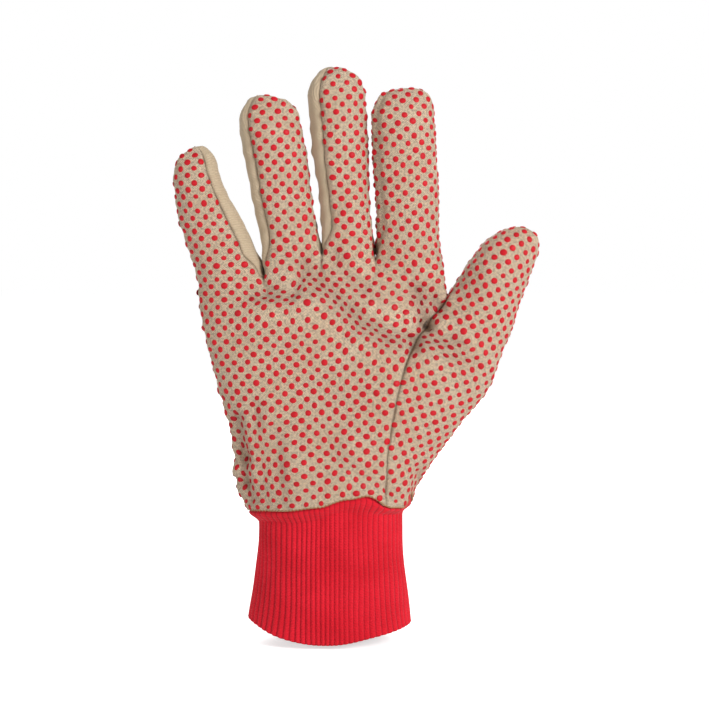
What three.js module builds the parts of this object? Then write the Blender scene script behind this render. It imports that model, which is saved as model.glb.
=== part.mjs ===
import * as THREE from 'three';

// Cotton work glove with a knitted wrist, as a right hand holds it open, palm towards -Y.
// Millimetres, +Z up, +X towards the thumb. The origin is the middle of the wrist opening.
// Five strips run up the hand, one for each finger and the thumb. Below the crotches they
// share their lines and close the palm, above them each strip closes into a finger.

// Cloth, knit and seams
const CLOTH_WALL = 1.8;
const KNIT_WALL = 2.4;
const SEAM_GAP = 0.3;
const CUFF_CLEARANCE = 0.35;

// Palm and thumb base
const PALM_LENGTH = 114.5;
const PALM_DEPTH = 36;
const PALM_SHIFT = -3.4;
const KNUCKLE_DEPTH = 28;
const WEB_SHARE = 0.62;
const WEB_RISE = 14;
const CROTCH_EASE = 0.8;
const THUMB_FORWARD = 6;
const FOLD_DEPTH = 5;
const FOLD_WIDTH = 8;

// Fingers: the middle finger's length from the crotches, a broad finger's width, the length
// of a rounded end and how far a tip leans to the palm side
const FINGER_LENGTH = 84;
const FINGER_WIDTH = 30;
const FINGER_TIP = 12;
const FINGER_CURL = 7;

// Knitted wrist
const CUFF_LENGTH = 61;
const CUFF_WIDTH = 66;
const CUFF_DEPTH = 47;
const CUFF_TUCK = 5;
const CUFF_FLARE = 5;
const CUFF_FLARE_DEEP = 3;
const CUFF_FLARE_HEIGHT = 8;
const CUFF_RIM_SADDLE = 5;
const CUFF_RIM_SPREAD = 4.3;
const HEM_WAVE = 6.5;
const RIB_COUNT = 88;
const RIB_DEPTH = 0.7;

// Mesh density
const STRIP_STEPS = 6;

// Fingers from the outer edge of the hand to the thumb. length, width, tip and curl are
// shares of FINGER_LENGTH, FINGER_WIDTH, FINGER_TIP and FINGER_CURL. lean is in degrees
// towards +X, bow is how far its middle swings towards +X as a share of its length, depth is
// a share of its width, base is the width between the crotches as a share of its width, and
// crotch is the height of the crotch on its outer side as a share of PALM_LENGTH. seamOut
// and seamIn say how far round to the palm, in degrees, the side seams stand on the outer
// and the thumb side.
const FINGER_SHARES = [
  { name: 'little', length: 0.726, width: 0.933, lean: -15.7, bow: -0.05, depth: 0.74,
    base: 1.08, crotch: 0.88, tip: 1, curl: 1, seamOut: 0, seamIn: 34 },
  { name: 'ring', length: 0.887, width: 0.987, lean: -10.3, bow: 0, depth: 0.74,
    base: 0.9, crotch: 0.963, tip: 1.08, curl: 0.86, seamOut: 38, seamIn: 0 },
  { name: 'middle', length: 1, width: 0.913, lean: -4.4, bow: 0, depth: 0.8,
    base: 0.887, crotch: 1.04, tip: 1, curl: 0.86, seamOut: 40, seamIn: 0 },
  { name: 'index', length: 1.018, width: 1.033, lean: -2.5, bow: 0, depth: 0.72,
    base: 1.065, crotch: 1, tip: 1, curl: 1, seamOut: 0, seamIn: 0 },
  { name: 'thumb', length: 0.571, width: 1.067, lean: 23.5, bow: 0, depth: 0.8,
    base: 0.8, crotch: 0.832, tip: 1.25, curl: 0.86, seamOut: 0, seamIn: 0 },
];

// Height of the thumb's base on its outer side as a share of PALM_LENGTH
const THUMB_BASE_HEIGHT = 0.612;

// Width of each finger, as a share of its own width, at shares of its length
const FINGER_WIDTHS = [
  { up: 0, little: 1.0, ring: 0.92, middle: 0.88, index: 1.02, thumb: 1.08 },
  { up: 0.25, little: 1.1, ring: 0.96, middle: 0.9, index: 0.98, thumb: 1.0 },
  { up: 0.5, little: 0.98, ring: 1.0, middle: 0.96, index: 1.0, thumb: 0.94 },
  { up: 0.75, little: 0.83, ring: 1.01, middle: 1.0, index: 1.01, thumb: 0.84 },
  { up: 1, little: 0.74, ring: 0.98, middle: 1.0, index: 1.0, thumb: 0.8 },
];

// Lines that bound the strips: hem is the place on the hem as a share of its width, wave the
// height of the hem there as a share of HEM_WAVE, and way is how far the line has gone from
// its place on the hem to its crotch, at the heights of LINE_HEIGHTS.
const LINE_HEIGHTS = [0, 0.12, 0.32, 0.53, 0.74, 0.88, 1];
const FRONT_LINES = [
  { hem: 0, wave: -0.1, way: [0, 0.2, 0.37, 0.62, 0.87, 0.97, 1] },
  { hem: 0.235, wave: 0.1, way: [0, 0.12, 0.32, 0.53, 0.74, 0.88, 1] },
  { hem: 0.45, wave: 0.25, way: [0, 0.12, 0.32, 0.53, 0.74, 0.88, 1] },
  { hem: 0.665, wave: 0.8, way: [0, 0.12, 0.32, 0.53, 0.74, 0.88, 1] },
  { hem: 0.84, wave: 1, way: [0, 0, 0.07, 0.19, 0.4, 0.69, 1] },
  { hem: 1, wave: 0.25, way: [0, 0.1, 0.32, 0.55, 0.8, 0.93, 1] },
];
const BACK_LINES = [
  { hem: 0, wave: -0.1, way: [0, 0.2, 0.37, 0.62, 0.87, 0.97, 1] },
  { hem: 0.08, wave: 0.1, way: [0, 0.1, 0.4, 0.55, 0.62, 0.8, 1] },
  { hem: 0.39, wave: -0.3, way: [0, 0, 0.08, 0.3, 0.75, 0.9, 1] },
  { hem: 0.82, wave: -0.35, way: [0, 0.1, 0.2, 0.2, 0.55, 0.85, 1] },
  { hem: 0.94, wave: 0, way: [0, 0.2, 0.42, 0.6, 0.75, 0.87, 1] },
  { hem: 1, wave: 0.25, way: [0, 0.1, 0.32, 0.55, 0.8, 0.93, 1] },
];

// Half depth of the hand up the palm, as shares between the wrist's and the knuckles'
const PALM_DEPTHS = [
  { up: 0, wrist: 1, palm: 0, knuckle: 0 },
  { up: 0.15, wrist: 0.45, palm: 0.55, knuckle: 0 },
  { up: 0.4, wrist: 0, palm: 1, knuckle: 0 },
  { up: 0.75, wrist: 0, palm: 0.8, knuckle: 0.2 },
  { up: 1, wrist: 0, palm: 0, knuckle: 1 },
];

// Main folds: from and to are shares of the palm's width from its outer edge and of its
// length from the hem, depth a share of FOLD_DEPTH (below 0 stands out) and width a share
// of FOLD_WIDTH.
const FOLDS = [
  { side: 'front', from: [1, 0.83], to: [0.83, 0.6], depth: 0.9, width: 0.8 },
  { side: 'front', from: [0.84, 0.87], to: [0.86, 0.83], depth: 0.8, width: 0.9 },
  { side: 'front', from: [0.42, 0.97], to: [0.66, 0.91], depth: 0.45, width: 0.7 },
  { side: 'front', from: [0.18, 0.24], to: [0.23, 0.06], depth: 0.6, width: 0.6 },
  { side: 'front', from: [0.29, 0.3], to: [0.32, 0.06], depth: 0.4, width: 0.7 },
  { side: 'front', from: [0.45, 0.5], to: [0.62, 0.72], depth: 0.5, width: 2.6 },
  { side: 'front', from: [0.74, 0.3], to: [0.78, 0.5], depth: -0.4, width: 2.4 },
  { side: 'back', from: [0.27, 0.93], to: [0.29, 0.88], depth: 0.9, width: 0.8 },
  { side: 'back', from: [0.3, 0.72], to: [0.42, 0.82], depth: 0.5, width: 0.8 },
  { side: 'back', from: [0.5, 0.96], to: [0.48, 0.84], depth: 0.5, width: 0.7 },
  { side: 'back', from: [0.42, 0.1], to: [0.5, 0.3], depth: 0.3, width: 0.9 },
];

// Heights of the rows in the palm as shares of its length, and in a finger of its own
const PALM_ROWS = [0, 0.065, 0.15, 0.26, 0.38, 0.5, 0.61, 0.72, 0.82, 0.91, 1];
const FINGER_ROWS = [0, 0.05, 0.13, 0.25, 0.38, 0.52, 0.66, 0.79, 0.88, 0.95, 0.985];
const CUFF_ROWS = [0, 0.45];

const FINGERS = FINGER_SHARES.map((row) => ({
  ...row,
  length: row.length * FINGER_LENGTH,
  width: row.width * FINGER_WIDTH,
  tip: row.tip * FINGER_TIP,
  curl: row.curl * FINGER_CURL,
}));
const THUMB = FINGERS.length - 1;
const HEM_WIDTH = CUFF_WIDTH + 2 * CUFF_FLARE;
const HEM_HALF_DEPTH = CUFF_DEPTH / 2 + CUFF_FLARE_DEEP;
const PALM_WIDTH = FINGERS.slice(0, THUMB).reduce((sum, f) => sum + f.width * f.base, 0);

const mix = (a, b, share) => a + (b - a) * share;
const clamp01 = (value) => Math.min(1, Math.max(0, value));
const smooth = (from, to, value) => {
  const share = clamp01((value - from) / (to - from));
  return share * share * (3 - 2 * share);
};

// Value of a table at x, with straight runs between its rows
function lookUp(xs, ys, x) {
  let i = 1;
  while (i < xs.length - 1 && xs[i] < x) {
    i += 1;
  }
  return mix(ys[i - 1], ys[i], clamp01((x - xs[i - 1]) / (xs[i] - xs[i - 1])));
}

function column(table, name, up) {
  return lookUp(table.map((row) => row.up), table.map((row) => row[name]), up);
}

// Crotches in the plane of the hand, from the outer edge to the thumb's outer base
function crotchPoints() {
  const points = [];
  let x = PALM_SHIFT - PALM_WIDTH / 2;
  for (const finger of FINGERS.slice(0, THUMB)) {
    points.push({ x, z: CUFF_LENGTH + finger.crotch * PALM_LENGTH });
    x += finger.width * finger.base;
  }
  points.push({ x, z: CUFF_LENGTH + FINGERS[THUMB].crotch * PALM_LENGTH });
  points.push({
    x: x + FINGERS[THUMB].width * FINGERS[THUMB].base,
    z: CUFF_LENGTH + THUMB_BASE_HEIGHT * PALM_LENGTH,
  });
  return points;
}
const CROTCHES = crotchPoints();

// Half thickness of the web at each crotch: the two outer edges have none
const WEBS = CROTCHES.map((point, j) => {
  if (j === 0 || j === CROTCHES.length - 1) {
    return 0;
  }
  const thinner = Math.min(
    FINGERS[j - 1].width * FINGERS[j - 1].depth,
    FINGERS[j].width * FINGERS[j].depth,
  );
  return (WEB_SHARE * thinner) / 2;
});

// Place of line j in the plane of the hand, up its own height
function linePoint(side, j, up) {
  const line = (side === 'front' ? FRONT_LINES : BACK_LINES)[j];
  const hemX = (line.hem - 0.5) * HEM_WIDTH;
  const hemZ = CUFF_LENGTH + line.wave * HEM_WAVE;
  return {
    x: mix(hemX, CROTCHES[j].x, lookUp(LINE_HEIGHTS, line.way, up)),
    z: mix(hemZ, CROTCHES[j].z, up),
  };
}

// The middle of the hand's depth leans forward towards the thumb
function middleDepth(j, up) {
  const leans = [0, 0, 0, 0.1, 0.4, 1];
  return -leans[j] * THUMB_FORWARD * smooth(0.1, 1, up);
}

// How far a line has gone over from the palm's section to the fingers' own sections
function parting(j, up) {
  return j >= THUMB ? smooth(0.5, 1, up) : smooth(0.84, 1, up);
}

function foldAt(side, x, z) {
  let sum = 0;
  const across = (x - CROTCHES[0].x) / PALM_WIDTH;
  const up = (z - CUFF_LENGTH) / PALM_LENGTH;
  for (const fold of FOLDS) {
    if (fold.side !== side) {
      continue;
    }
    const run = new THREE.Vector2(
      (fold.to[0] - fold.from[0]) * PALM_WIDTH,
      (fold.to[1] - fold.from[1]) * PALM_LENGTH,
    );
    const here = new THREE.Vector2(
      (across - fold.from[0]) * PALM_WIDTH,
      (up - fold.from[1]) * PALM_LENGTH,
    );
    const share = clamp01(here.dot(run) / run.lengthSq());
    const away = here.addScaledVector(run, -share).length() / (FOLD_WIDTH * fold.width);
    sum += fold.depth * FOLD_DEPTH * Math.exp(-away * away);
  }
  return sum;
}

// Share across strip k of its column i, from a round finger's to an even spread
function acrossPalm(k, i, up) {
  const even = i / STRIP_STEPS;
  const step = (i + 1) / (STRIP_STEPS + 1);
  const part = smooth(0.6, 1, up);
  if (k === 0) {
    const turn = Math.PI * mix(1 / (STRIP_STEPS + 2), 1, even);
    return mix(1 - Math.cos((Math.PI / 2) * step), (1 - Math.cos(turn)) / 2, part);
  }
  if (k === THUMB) {
    const turn = Math.PI * mix(0, 1 - 1 / (STRIP_STEPS + 2), even);
    const back = i / (STRIP_STEPS + 1);
    return mix(Math.sin((Math.PI / 2) * back), (1 - Math.cos(turn)) / 2, part);
  }
  return mix(even, (1 - Math.cos(Math.PI * even)) / 2, part);
}

// Point of the palm or the back of the hand: up from the hem to the crotches, across from
// one line of strip k to the next, inset from the outside of the cloth
function palmPoint(side, k, up, across, inset) {
  const lines = CROTCHES.map((_, j) => linePoint(side, j, up));
  const spans = lines.slice(1).map((p, j) => Math.hypot(p.x - lines[j].x, p.z - lines[j].z));
  const total = spans.reduce((sum, span) => sum + span, 0);
  const before = spans.slice(0, k).reduce((sum, span) => sum + span, 0);
  const q = (2 * (before + spans[k] * across)) / total - 1;
  const depths = column(PALM_DEPTHS, 'wrist', up) * HEM_HALF_DEPTH
    + (column(PALM_DEPTHS, 'palm', up) * PALM_DEPTH) / 2
    + (column(PALM_DEPTHS, 'knuckle', up) * KNUCKLE_DEPTH) / 2;
  const power = mix(2.05, 2.5, smooth(0, 0.4, up));
  const round = (1 - Math.min(1, Math.abs(q)) ** power) ** (1 / power);
  const finger = FINGERS[k];
  const turn = Math.acos(1 - 2 * across);
  const web = turn < Math.PI / 2 ? WEBS[k] : WEBS[k + 1];
  const webIn = web > 0 ? web - inset : 0;
  const own = webIn + ((finger.width * finger.depth) / 2 - inset - webIn) * Math.sin(turn);
  const part = mix(parting(k, up), parting(k + 1, up), across);
  const half = mix((depths - inset) * round, own, part);
  const sign = side === 'front' ? -1 : 1;
  const centre = mix(middleDepth(k, up), middleDepth(k + 1, up), across);
  const narrower = 1 - (2 * inset) / total;
  const middle = (lines[0].x + lines[lines.length - 1].x) / 2;
  const x = mix(lines[k].x, lines[k + 1].x, across);
  let z = mix(lines[k].z, lines[k + 1].z, across);
  const nearWeb = Math.abs(Math.cos(turn)) ** 4 * (web > 0 ? 1 : 0);
  z -= inset * nearWeb * smooth(0.8, 1, up);
  const edge = (x - middle) * (narrower - 1) * mix(1, Math.abs(q) ** 3, part);
  const fold = foldAt(side, x, z) * Math.min(1, round * 1.5);
  return new THREE.Vector3(x + edge, centre + sign * (half - fold), z);
}

// Point of finger k: up its length, turned round it from its outer side (0) over the palm
// side to its thumb side (180 degrees) and back
function fingerPoint(k, up, turn, inset, flat) {
  const finger = FINGERS[k];
  const left = CROTCHES[k];
  const right = CROTCHES[k + 1];
  const base = new THREE.Vector2((left.x + right.x) / 2, (left.z + right.z) / 2);
  const lean = THREE.MathUtils.degToRad(finger.lean);
  const axis = new THREE.Vector2(Math.sin(lean), Math.cos(lean));
  const side = new THREE.Vector2(Math.cos(lean), -Math.sin(lean));
  const tipStart = 1 - finger.tip / finger.length;
  const tipShare = clamp01((up - tipStart) / (1 - tipStart));
  const wide = (1 - tipShare ** 2.3) ** (1 / 2.3);
  const slopeStart = 1 - (1.7 * finger.tip) / finger.length;
  const slopeShare = clamp01((up - slopeStart) / (1 - slopeStart));
  const deep = (1 - slopeShare ** 1.8) ** (1 / 1.8);
  const length = finger.length - inset * smooth(0, 0.3, up);
  const halfWidth = (finger.width / 2) * column(FINGER_WIDTHS, finger.name, up);
  const settle = smooth(0, 0.4, up);
  const ease = CROTCH_EASE * Math.sqrt(clamp01((up * finger.length) / CUFF_FLARE_HEIGHT));
  const edges = [left, right].map((crotch, j) => {
    const offset = new THREE.Vector2(crotch.x, crotch.z).sub(base);
    const lateral = mix(Math.abs(offset.dot(side)), halfWidth, settle) - ease
      - inset * smooth(0, 0.04, up);
    const along = up * length + offset.dot(axis) * (1 - Math.min(1, up / 0.45)) ** 2;
    const out = (j === 0 ? -1 : 1) * lateral * wide + finger.bow * finger.length * Math.sin(Math.PI * up);
    return base.clone().addScaledVector(axis, along).addScaledVector(side, out);
  });
  const across = (1 - Math.cos(turn)) / 2;
  const point = edges[0].lerp(edges[1], across);
  const rise = (up * finger.length) / WEB_RISE;
  const webHeight = rise < 1 ? Math.cos((Math.PI / 2) * rise) : 0;
  const web = Math.cos(turn) > 0 ? WEBS[k] : WEBS[k + 1];
  const webIn = Math.max(0, web * webHeight - inset * Math.sqrt(webHeight));
  const swell = (finger.width * finger.depth) / 2 - inset - webIn;
  const half = webIn + swell * Math.abs(Math.sin(turn)) * deep;
  const sign = Math.sin(turn) > 0 ? -1 : 1;
  const settled = smooth(0, 0.5, up);
  const start = mix(middleDepth(k, 1), middleDepth(k + 1, 1), across);
  const own = (middleDepth(k, 1) + middleDepth(k + 1, 1)) / 2;
  const centre = mix(start, own, settled) - finger.curl * up * up;
  const y = centre + (flat ? 0 : sign * half);
  return new THREE.Vector3(point.x, y, point.y);
}

// Turn of the seams and columns round a finger, on the palm side and on the back
function fingerTurns(k, up) {
  const finger = FINGERS[k];
  const rise = smooth(0.06, 0.36, up);
  const hair = 1e-6;
  const turned = (degrees) => (
    degrees === 0 ? 0 : Math.max(hair, THREE.MathUtils.degToRad(degrees) * rise)
  );
  const outer = turned(finger.seamOut);
  const inner = turned(finger.seamIn);
  const spacing = Math.PI / (STRIP_STEPS + 2);
  const stepOut = k === 0 ? spacing : spacing * smooth(0, 0.25, up);
  const stepIn = k === THUMB ? spacing : spacing * smooth(0, 0.25, up);
  return {
    outer,
    inner: Math.PI - inner,
    front: (i) => mix(outer + stepOut + hair, Math.PI - inner - stepIn - hair, i / STRIP_STEPS),
    back: (i) => mix(outer - stepOut - hair, -Math.PI - inner + stepIn + hair, i / STRIP_STEPS),
  };
}

// Every point of the shell has a name. A point is worked out once for the outside of the
// cloth and once for its inside.
const outside = new Map();
const inside = new Map();

function keep(name, make) {
  if (!outside.has(name)) {
    outside.set(name, make(0));
    inside.set(name, make(CLOTH_WALL));
  }
  return name;
}

// Names of the points of a strip in a row of the palm
function palmRow(side, k, row) {
  const up = PALM_ROWS[row];
  const names = [];
  for (let i = 0; i <= STRIP_STEPS; i += 1) {
    const first = i === 0 && k > 0;
    const name = first ? `${side} ${k - 1} ${STRIP_STEPS} ${row}` : `${side} ${k} ${i} ${row}`;
    const onLine = (i === 0 && k > 0) || (i === STRIP_STEPS && k < THUMB);
    const across = onLine ? i / STRIP_STEPS : acrossPalm(k, i, up);
    names.push(keep(name, (inset) => palmPoint(side, k, up, across, inset)));
  }
  return names;
}

// Name of the point half way through the cloth's depth on line j: an outer edge or a web
function seamPoint(j, row) {
  const up = PALM_ROWS[row];
  return keep(`seam ${j} ${row}`, (inset) => {
    const k = Math.min(j, THUMB);
    const front = palmPoint('front', k, up, j > THUMB ? 1 : 0, inset);
    const back = palmPoint('back', k, up, j > THUMB ? 1 : 0, inset);
    return front.lerp(back, 0.5);
  });
}

// Names of the points round a finger in a row, in order from its outer seam over the palm
// side to its thumb seam, and back
function fingerRow(k, row) {
  if (row === 0) {
    const last = PALM_ROWS.length - 1;
    return {
      outer: seamPoint(k, last),
      front: palmRow('front', k, last),
      inner: seamPoint(k + 1, last),
      back: palmRow('back', k, last),
    };
  }
  const up = FINGER_ROWS[row];
  const turns = fingerTurns(k, up);
  const place = (label, make) => keep(`finger ${k} ${row} ${label}`, make);
  const column = (label, turn) => place(label, (inset) => fingerPoint(k, up, turn, inset, false));
  const seam = (label, turn, side) => place(label, (inset) => {
    const middle = fingerPoint(k, up, side, inset, true);
    const climb = turn === side ? 0 : smooth(0, 0.28, up);
    return middle.lerp(fingerPoint(k, up, turn, inset, false), climb);
  });
  const steps = [...Array(STRIP_STEPS + 1).keys()];
  return {
    outer: seam('outer', turns.outer, 0),
    front: steps.map((i) => column(`front ${i}`, turns.front(i))),
    inner: seam('inner', turns.inner, Math.PI),
    back: steps.map((i) => column(`back ${i}`, turns.back(i))),
  };
}

const PANELS = {
  palm_panel: [],
  thumb_panel: [],
  back_middle_panel: [],
  back_ring_panel: [],
  back_little_panel: [],
};
const FRONT_PANELS = ['palm_panel', 'palm_panel', 'palm_panel', 'palm_panel', 'thumb_panel'];
const BACK_PANELS = [
  'back_little_panel', 'back_ring_panel', 'back_middle_panel', 'palm_panel', 'thumb_panel',
];

// A run of points below and the same run above it become faces of a panel
function weave(panel, below, above, flip) {
  for (let i = 0; i < below.length - 1; i += 1) {
    const quad = [below[i], below[i + 1], above[i + 1], above[i]];
    const face = flip ? quad.reverse() : quad;
    PANELS[panel].push([face[0], face[1], face[2]], [face[0], face[2], face[3]]);
  }
}

function weavePalm() {
  for (let row = 0; row < PALM_ROWS.length - 1; row += 1) {
    for (let k = 0; k <= THUMB; k += 1) {
      weave(FRONT_PANELS[k], palmRow('front', k, row), palmRow('front', k, row + 1), false);
      weave(BACK_PANELS[k], palmRow('back', k, row), palmRow('back', k, row + 1), true);
    }
    for (const j of [0, THUMB + 1]) {
      const k = Math.min(j, THUMB);
      const i = j === 0 ? 0 : STRIP_STEPS;
      const run = (side, r) => {
        const pair = [seamPoint(j, r), palmRow(side, k, r)[i]];
        return j === 0 ? pair : pair.reverse();
      };
      weave(FRONT_PANELS[k], run('front', row), run('front', row + 1), false);
      weave(BACK_PANELS[k], run('back', row), run('back', row + 1), true);
    }
  }
}

function weaveFingers() {
  for (let k = 0; k <= THUMB; k += 1) {
    const run = (row, side) => {
      const names = fingerRow(k, row);
      return [names.outer, ...names[side], names.inner];
    };
    const last = FINGER_ROWS.length - 1;
    for (let row = 0; row < last; row += 1) {
      weave(FRONT_PANELS[k], run(row, 'front'), run(row + 1, 'front'), false);
      weave(BACK_PANELS[k], run(row, 'back'), run(row + 1, 'back'), true);
    }
    const pole = keep(`tip ${k}`, (inset) => fingerPoint(k, 1, 0, inset, true));
    for (const side of ['front', 'back']) {
      const names = run(last, side);
      const panel = (side === 'front' ? FRONT_PANELS : BACK_PANELS)[k];
      for (let i = 0; i < names.length - 1; i += 1) {
        const face = [names[i], names[i + 1], pole];
        PANELS[panel].push(side === 'front' ? face : face.reverse());
      }
    }
  }
}

// Edges of a panel that only one of its faces has, in the direction of that face
function openEdges(faces) {
  const edges = new Map();
  for (const face of faces) {
    for (let i = 0; i < 3; i += 1) {
      const a = face[i];
      const b = face[(i + 1) % 3];
      if (!edges.delete(`${b}>${a}`)) {
        edges.set(`${a}>${b}`, [a, b]);
      }
    }
  }
  return [...edges.values()];
}

const onHem = (name) => /^(front|back|seam) .*\b0$/.test(name);

// Points of a panel with its seam edges drawn back by half the seam's gap
function panelPoints(faces, edges, source) {
  const points = new Map();
  for (const name of new Set(faces.flat())) {
    points.set(name, source.get(name).clone());
  }
  const moves = new Map();
  for (const [a, b] of edges) {
    if (onHem(a) && onHem(b)) {
      continue;
    }
    const run = new THREE.Vector3().subVectors(source.get(b), source.get(a)).normalize();
    const depth = new THREE.Vector3().subVectors(inside.get(a), outside.get(a)).normalize();
    const inward = new THREE.Vector3().crossVectors(run, depth).normalize();
    for (const name of [a, b]) {
      moves.set(name, (moves.get(name) ?? new THREE.Vector3()).add(inward));
    }
  }
  for (const [name, move] of moves) {
    points.get(name).addScaledVector(move.normalize(), SEAM_GAP / 2);
  }
  return points;
}

function solidOf(positions) {
  const geometry = new THREE.BufferGeometry();
  const flat = positions.flatMap((p) => [p.x, p.y, p.z]);
  geometry.setAttribute('position', new THREE.Float32BufferAttribute(flat, 3));
  geometry.computeVertexNormals();
  return geometry;
}

// A panel of cloth: its outside, its inside and the rims between them
function panelGeometry(faces) {
  const edges = openEdges(faces);
  const outer = panelPoints(faces, edges, outside);
  const inner = panelPoints(faces, edges, inside);
  const positions = [];
  for (const [a, b, c] of faces) {
    positions.push(outer.get(a), outer.get(b), outer.get(c));
    positions.push(inner.get(c), inner.get(b), inner.get(a));
  }
  for (const [a, b] of edges) {
    positions.push(outer.get(b), outer.get(a), inner.get(a));
    positions.push(outer.get(b), inner.get(a), inner.get(b));
  }
  return solidOf(positions);
}

// Loop of the inside of the shell in a row of the palm
function shellLoop(row) {
  const names = [seamPoint(0, row)];
  for (let k = 0; k <= THUMB; k += 1) {
    names.push(...palmRow('front', k, row).slice(k > 0 ? 1 : 0));
  }
  names.push(seamPoint(THUMB + 1, row));
  for (let k = THUMB; k >= 0; k -= 1) {
    names.push(...palmRow('back', k, row).reverse().slice(k < THUMB ? 1 : 0));
  }
  return names.map((name) => inside.get(name));
}

// Where a ray from the wrist's axis meets a loop: its reach and its height
function reachOf(loop, angle) {
  const ray = new THREE.Vector2(Math.cos(angle), Math.sin(angle));
  let best = { reach: 0, z: 0 };
  for (let i = 0; i < loop.length; i += 1) {
    const a = loop[i];
    const b = loop[(i + 1) % loop.length];
    const sideA = ray.x * a.y - ray.y * a.x;
    const sideB = ray.x * b.y - ray.y * b.x;
    if (sideA * sideB > 0 || sideA === sideB) {
      continue;
    }
    const share = sideA / (sideA - sideB);
    const reach = mix(a.x, b.x, share) * ray.x + mix(a.y, b.y, share) * ray.y;
    if (reach > best.reach) {
      best = { reach, z: mix(a.z, b.z, share) };
    }
  }
  return best;
}

// Knitted tube: ribs below the hem, plain where the shell is sewn over it
function cuffGeometry() {
  const hem = shellLoop(0);
  const above = shellLoop(1);
  const columns = 2 * RIB_COUNT;
  const rows = [];
  const turn = (2 * Math.PI) / columns;
  for (let c = 0; c < columns; c += 1) {
    const angle = c * turn;
    const low = reachOf(hem, angle);
    const high = reachOf(above, angle);
    const tuckShare = CUFF_TUCK / (high.z - low.z);
    const oval = 1 / Math.hypot(Math.cos(angle) / (CUFF_WIDTH / 2), Math.sin(angle) / (CUFF_DEPTH / 2));
    const rib = c % 2 === 0 ? 0 : -RIB_DEPTH;
    const rim = CUFF_RIM_SADDLE * Math.cos(angle) ** 2;
    const narrow = low.z - CUFF_FLARE_HEIGHT;
    const spread = CUFF_RIM_SPREAD * Math.cos(angle) ** 2;
    const column = CUFF_ROWS.map((up) => ({
      reach: oval + rib + spread * (1 - up) ** 2,
      z: mix(rim, narrow, up),
      wall: KNIT_WALL + rib,
    }));
    column.push({ reach: oval + rib, z: narrow, wall: KNIT_WALL + rib });
    column.push({ reach: low.reach - CUFF_CLEARANCE, z: low.z, wall: KNIT_WALL });
    column.push({
      reach: mix(low.reach, high.reach, tuckShare) - CUFF_CLEARANCE,
      z: low.z + CUFF_TUCK,
      wall: KNIT_WALL,
    });
    rows.push(column.map((at) => ({
      outer: new THREE.Vector3(at.reach * Math.cos(angle), at.reach * Math.sin(angle), at.z),
      inner: new THREE.Vector3(
        (at.reach - at.wall) * Math.cos(angle),
        (at.reach - at.wall) * Math.sin(angle),
        at.z,
      ),
    })));
  }
  const positions = [];
  const quad = (a, b, c, d) => positions.push(a, b, c, a, c, d);
  for (let c = 0; c < columns; c += 1) {
    const here = rows[c];
    const next = rows[(c + 1) % columns];
    for (let r = 0; r < here.length - 1; r += 1) {
      quad(here[r].outer, next[r].outer, next[r + 1].outer, here[r + 1].outer);
      quad(next[r].inner, here[r].inner, here[r + 1].inner, next[r + 1].inner);
    }
    const top = here.length - 1;
    quad(next[0].outer, here[0].outer, here[0].inner, next[0].inner);
    quad(here[top].outer, next[top].outer, next[top].inner, here[top].inner);
  }
  return solidOf(positions);
}

function named(name, geometry, color, roughness) {
  const material = new THREE.MeshStandardMaterial({ color, roughness, metalness: 0 });
  const mesh = new THREE.Mesh(geometry, material);
  mesh.name = name;
  return mesh;
}

weavePalm();
weaveFingers();

const glove = new THREE.Group();
for (const [name, faces] of Object.entries(PANELS)) {
  glove.add(named(name, panelGeometry(faces), '#cbb592', 0.9));
}
glove.add(named('knit_cuff', cuffGeometry(), '#d21f30', 0.95));

export default glove;
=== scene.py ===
import math
import bpy
import numpy as np
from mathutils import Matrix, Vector, kdtree
from mathutils.bvhtree import BVHTree


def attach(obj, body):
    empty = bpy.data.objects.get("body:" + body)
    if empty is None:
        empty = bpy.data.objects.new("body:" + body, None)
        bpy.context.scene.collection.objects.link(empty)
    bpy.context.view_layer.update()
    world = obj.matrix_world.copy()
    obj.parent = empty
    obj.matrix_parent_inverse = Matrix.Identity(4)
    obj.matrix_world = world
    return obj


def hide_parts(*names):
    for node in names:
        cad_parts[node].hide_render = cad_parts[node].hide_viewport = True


# Cotton work glove: dotted palm, thumb and index finger, twill back, ribbed knit wrist.
# Shapes are worked out in millimetres and go into the meshes in metres.

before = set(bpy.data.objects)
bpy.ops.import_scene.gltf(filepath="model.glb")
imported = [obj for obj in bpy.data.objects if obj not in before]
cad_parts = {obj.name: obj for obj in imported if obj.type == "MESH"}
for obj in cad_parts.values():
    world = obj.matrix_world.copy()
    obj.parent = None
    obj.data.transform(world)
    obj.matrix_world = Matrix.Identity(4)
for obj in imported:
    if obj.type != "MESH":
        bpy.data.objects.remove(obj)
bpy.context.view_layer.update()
bpy.ops.object.select_all(action="DESELECT")

hand = {
    "palmLength": 114.5, "palmDepth": 36, "palmShift": -3.9, "knuckleDepth": 28,
    "webShare": 0.62, "webRise": 14, "crotchEase": 0.8, "thumbForward": 6,
    "foldDepth": 5, "foldWidth": 8, "thumbBaseHeight": 0.612, "hemWave": 6.5,
    "fingerLength": 84, "fingerWidth": 30, "fingerTip": 12, "fingerCurl": 7,
    "rowStep": 1.45, "stripColumns": 20, "webColumns": 5, "tipRows": 10, "wall": 1.8,
    "tipWall": 0.2, "tipWallReach": 7,
}

cuff = {
    "length": 61, "width": 66, "depth": 47, "wall": 2.2, "tuck": 5, "clearance": 0.35, "flush": 0.9,
    "flare": 5, "flareDeep": 3, "flareHeight": 6.5, "rows": 44, "flareRows": 9,
    "ribs": 70, "ribColumns": 7, "ribDepth": 0.9, "ribRound": 0.8, "ribMiddle": 0.55,
    "ribClose": 0.25, "flareRib": 0.75, "hemRib": 0.35, "soft": 0.35, "softSize": 22, "softRound": 30, "hemCalm": 14,
    "rimLift": 0.5, "rimTilt": 1.0, "rimSaddle": 5, "rimLeft": 4.6, "rimRight": 0.2, "rimSpread": 4.3, "rimTurn": 0.9,
}

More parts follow.
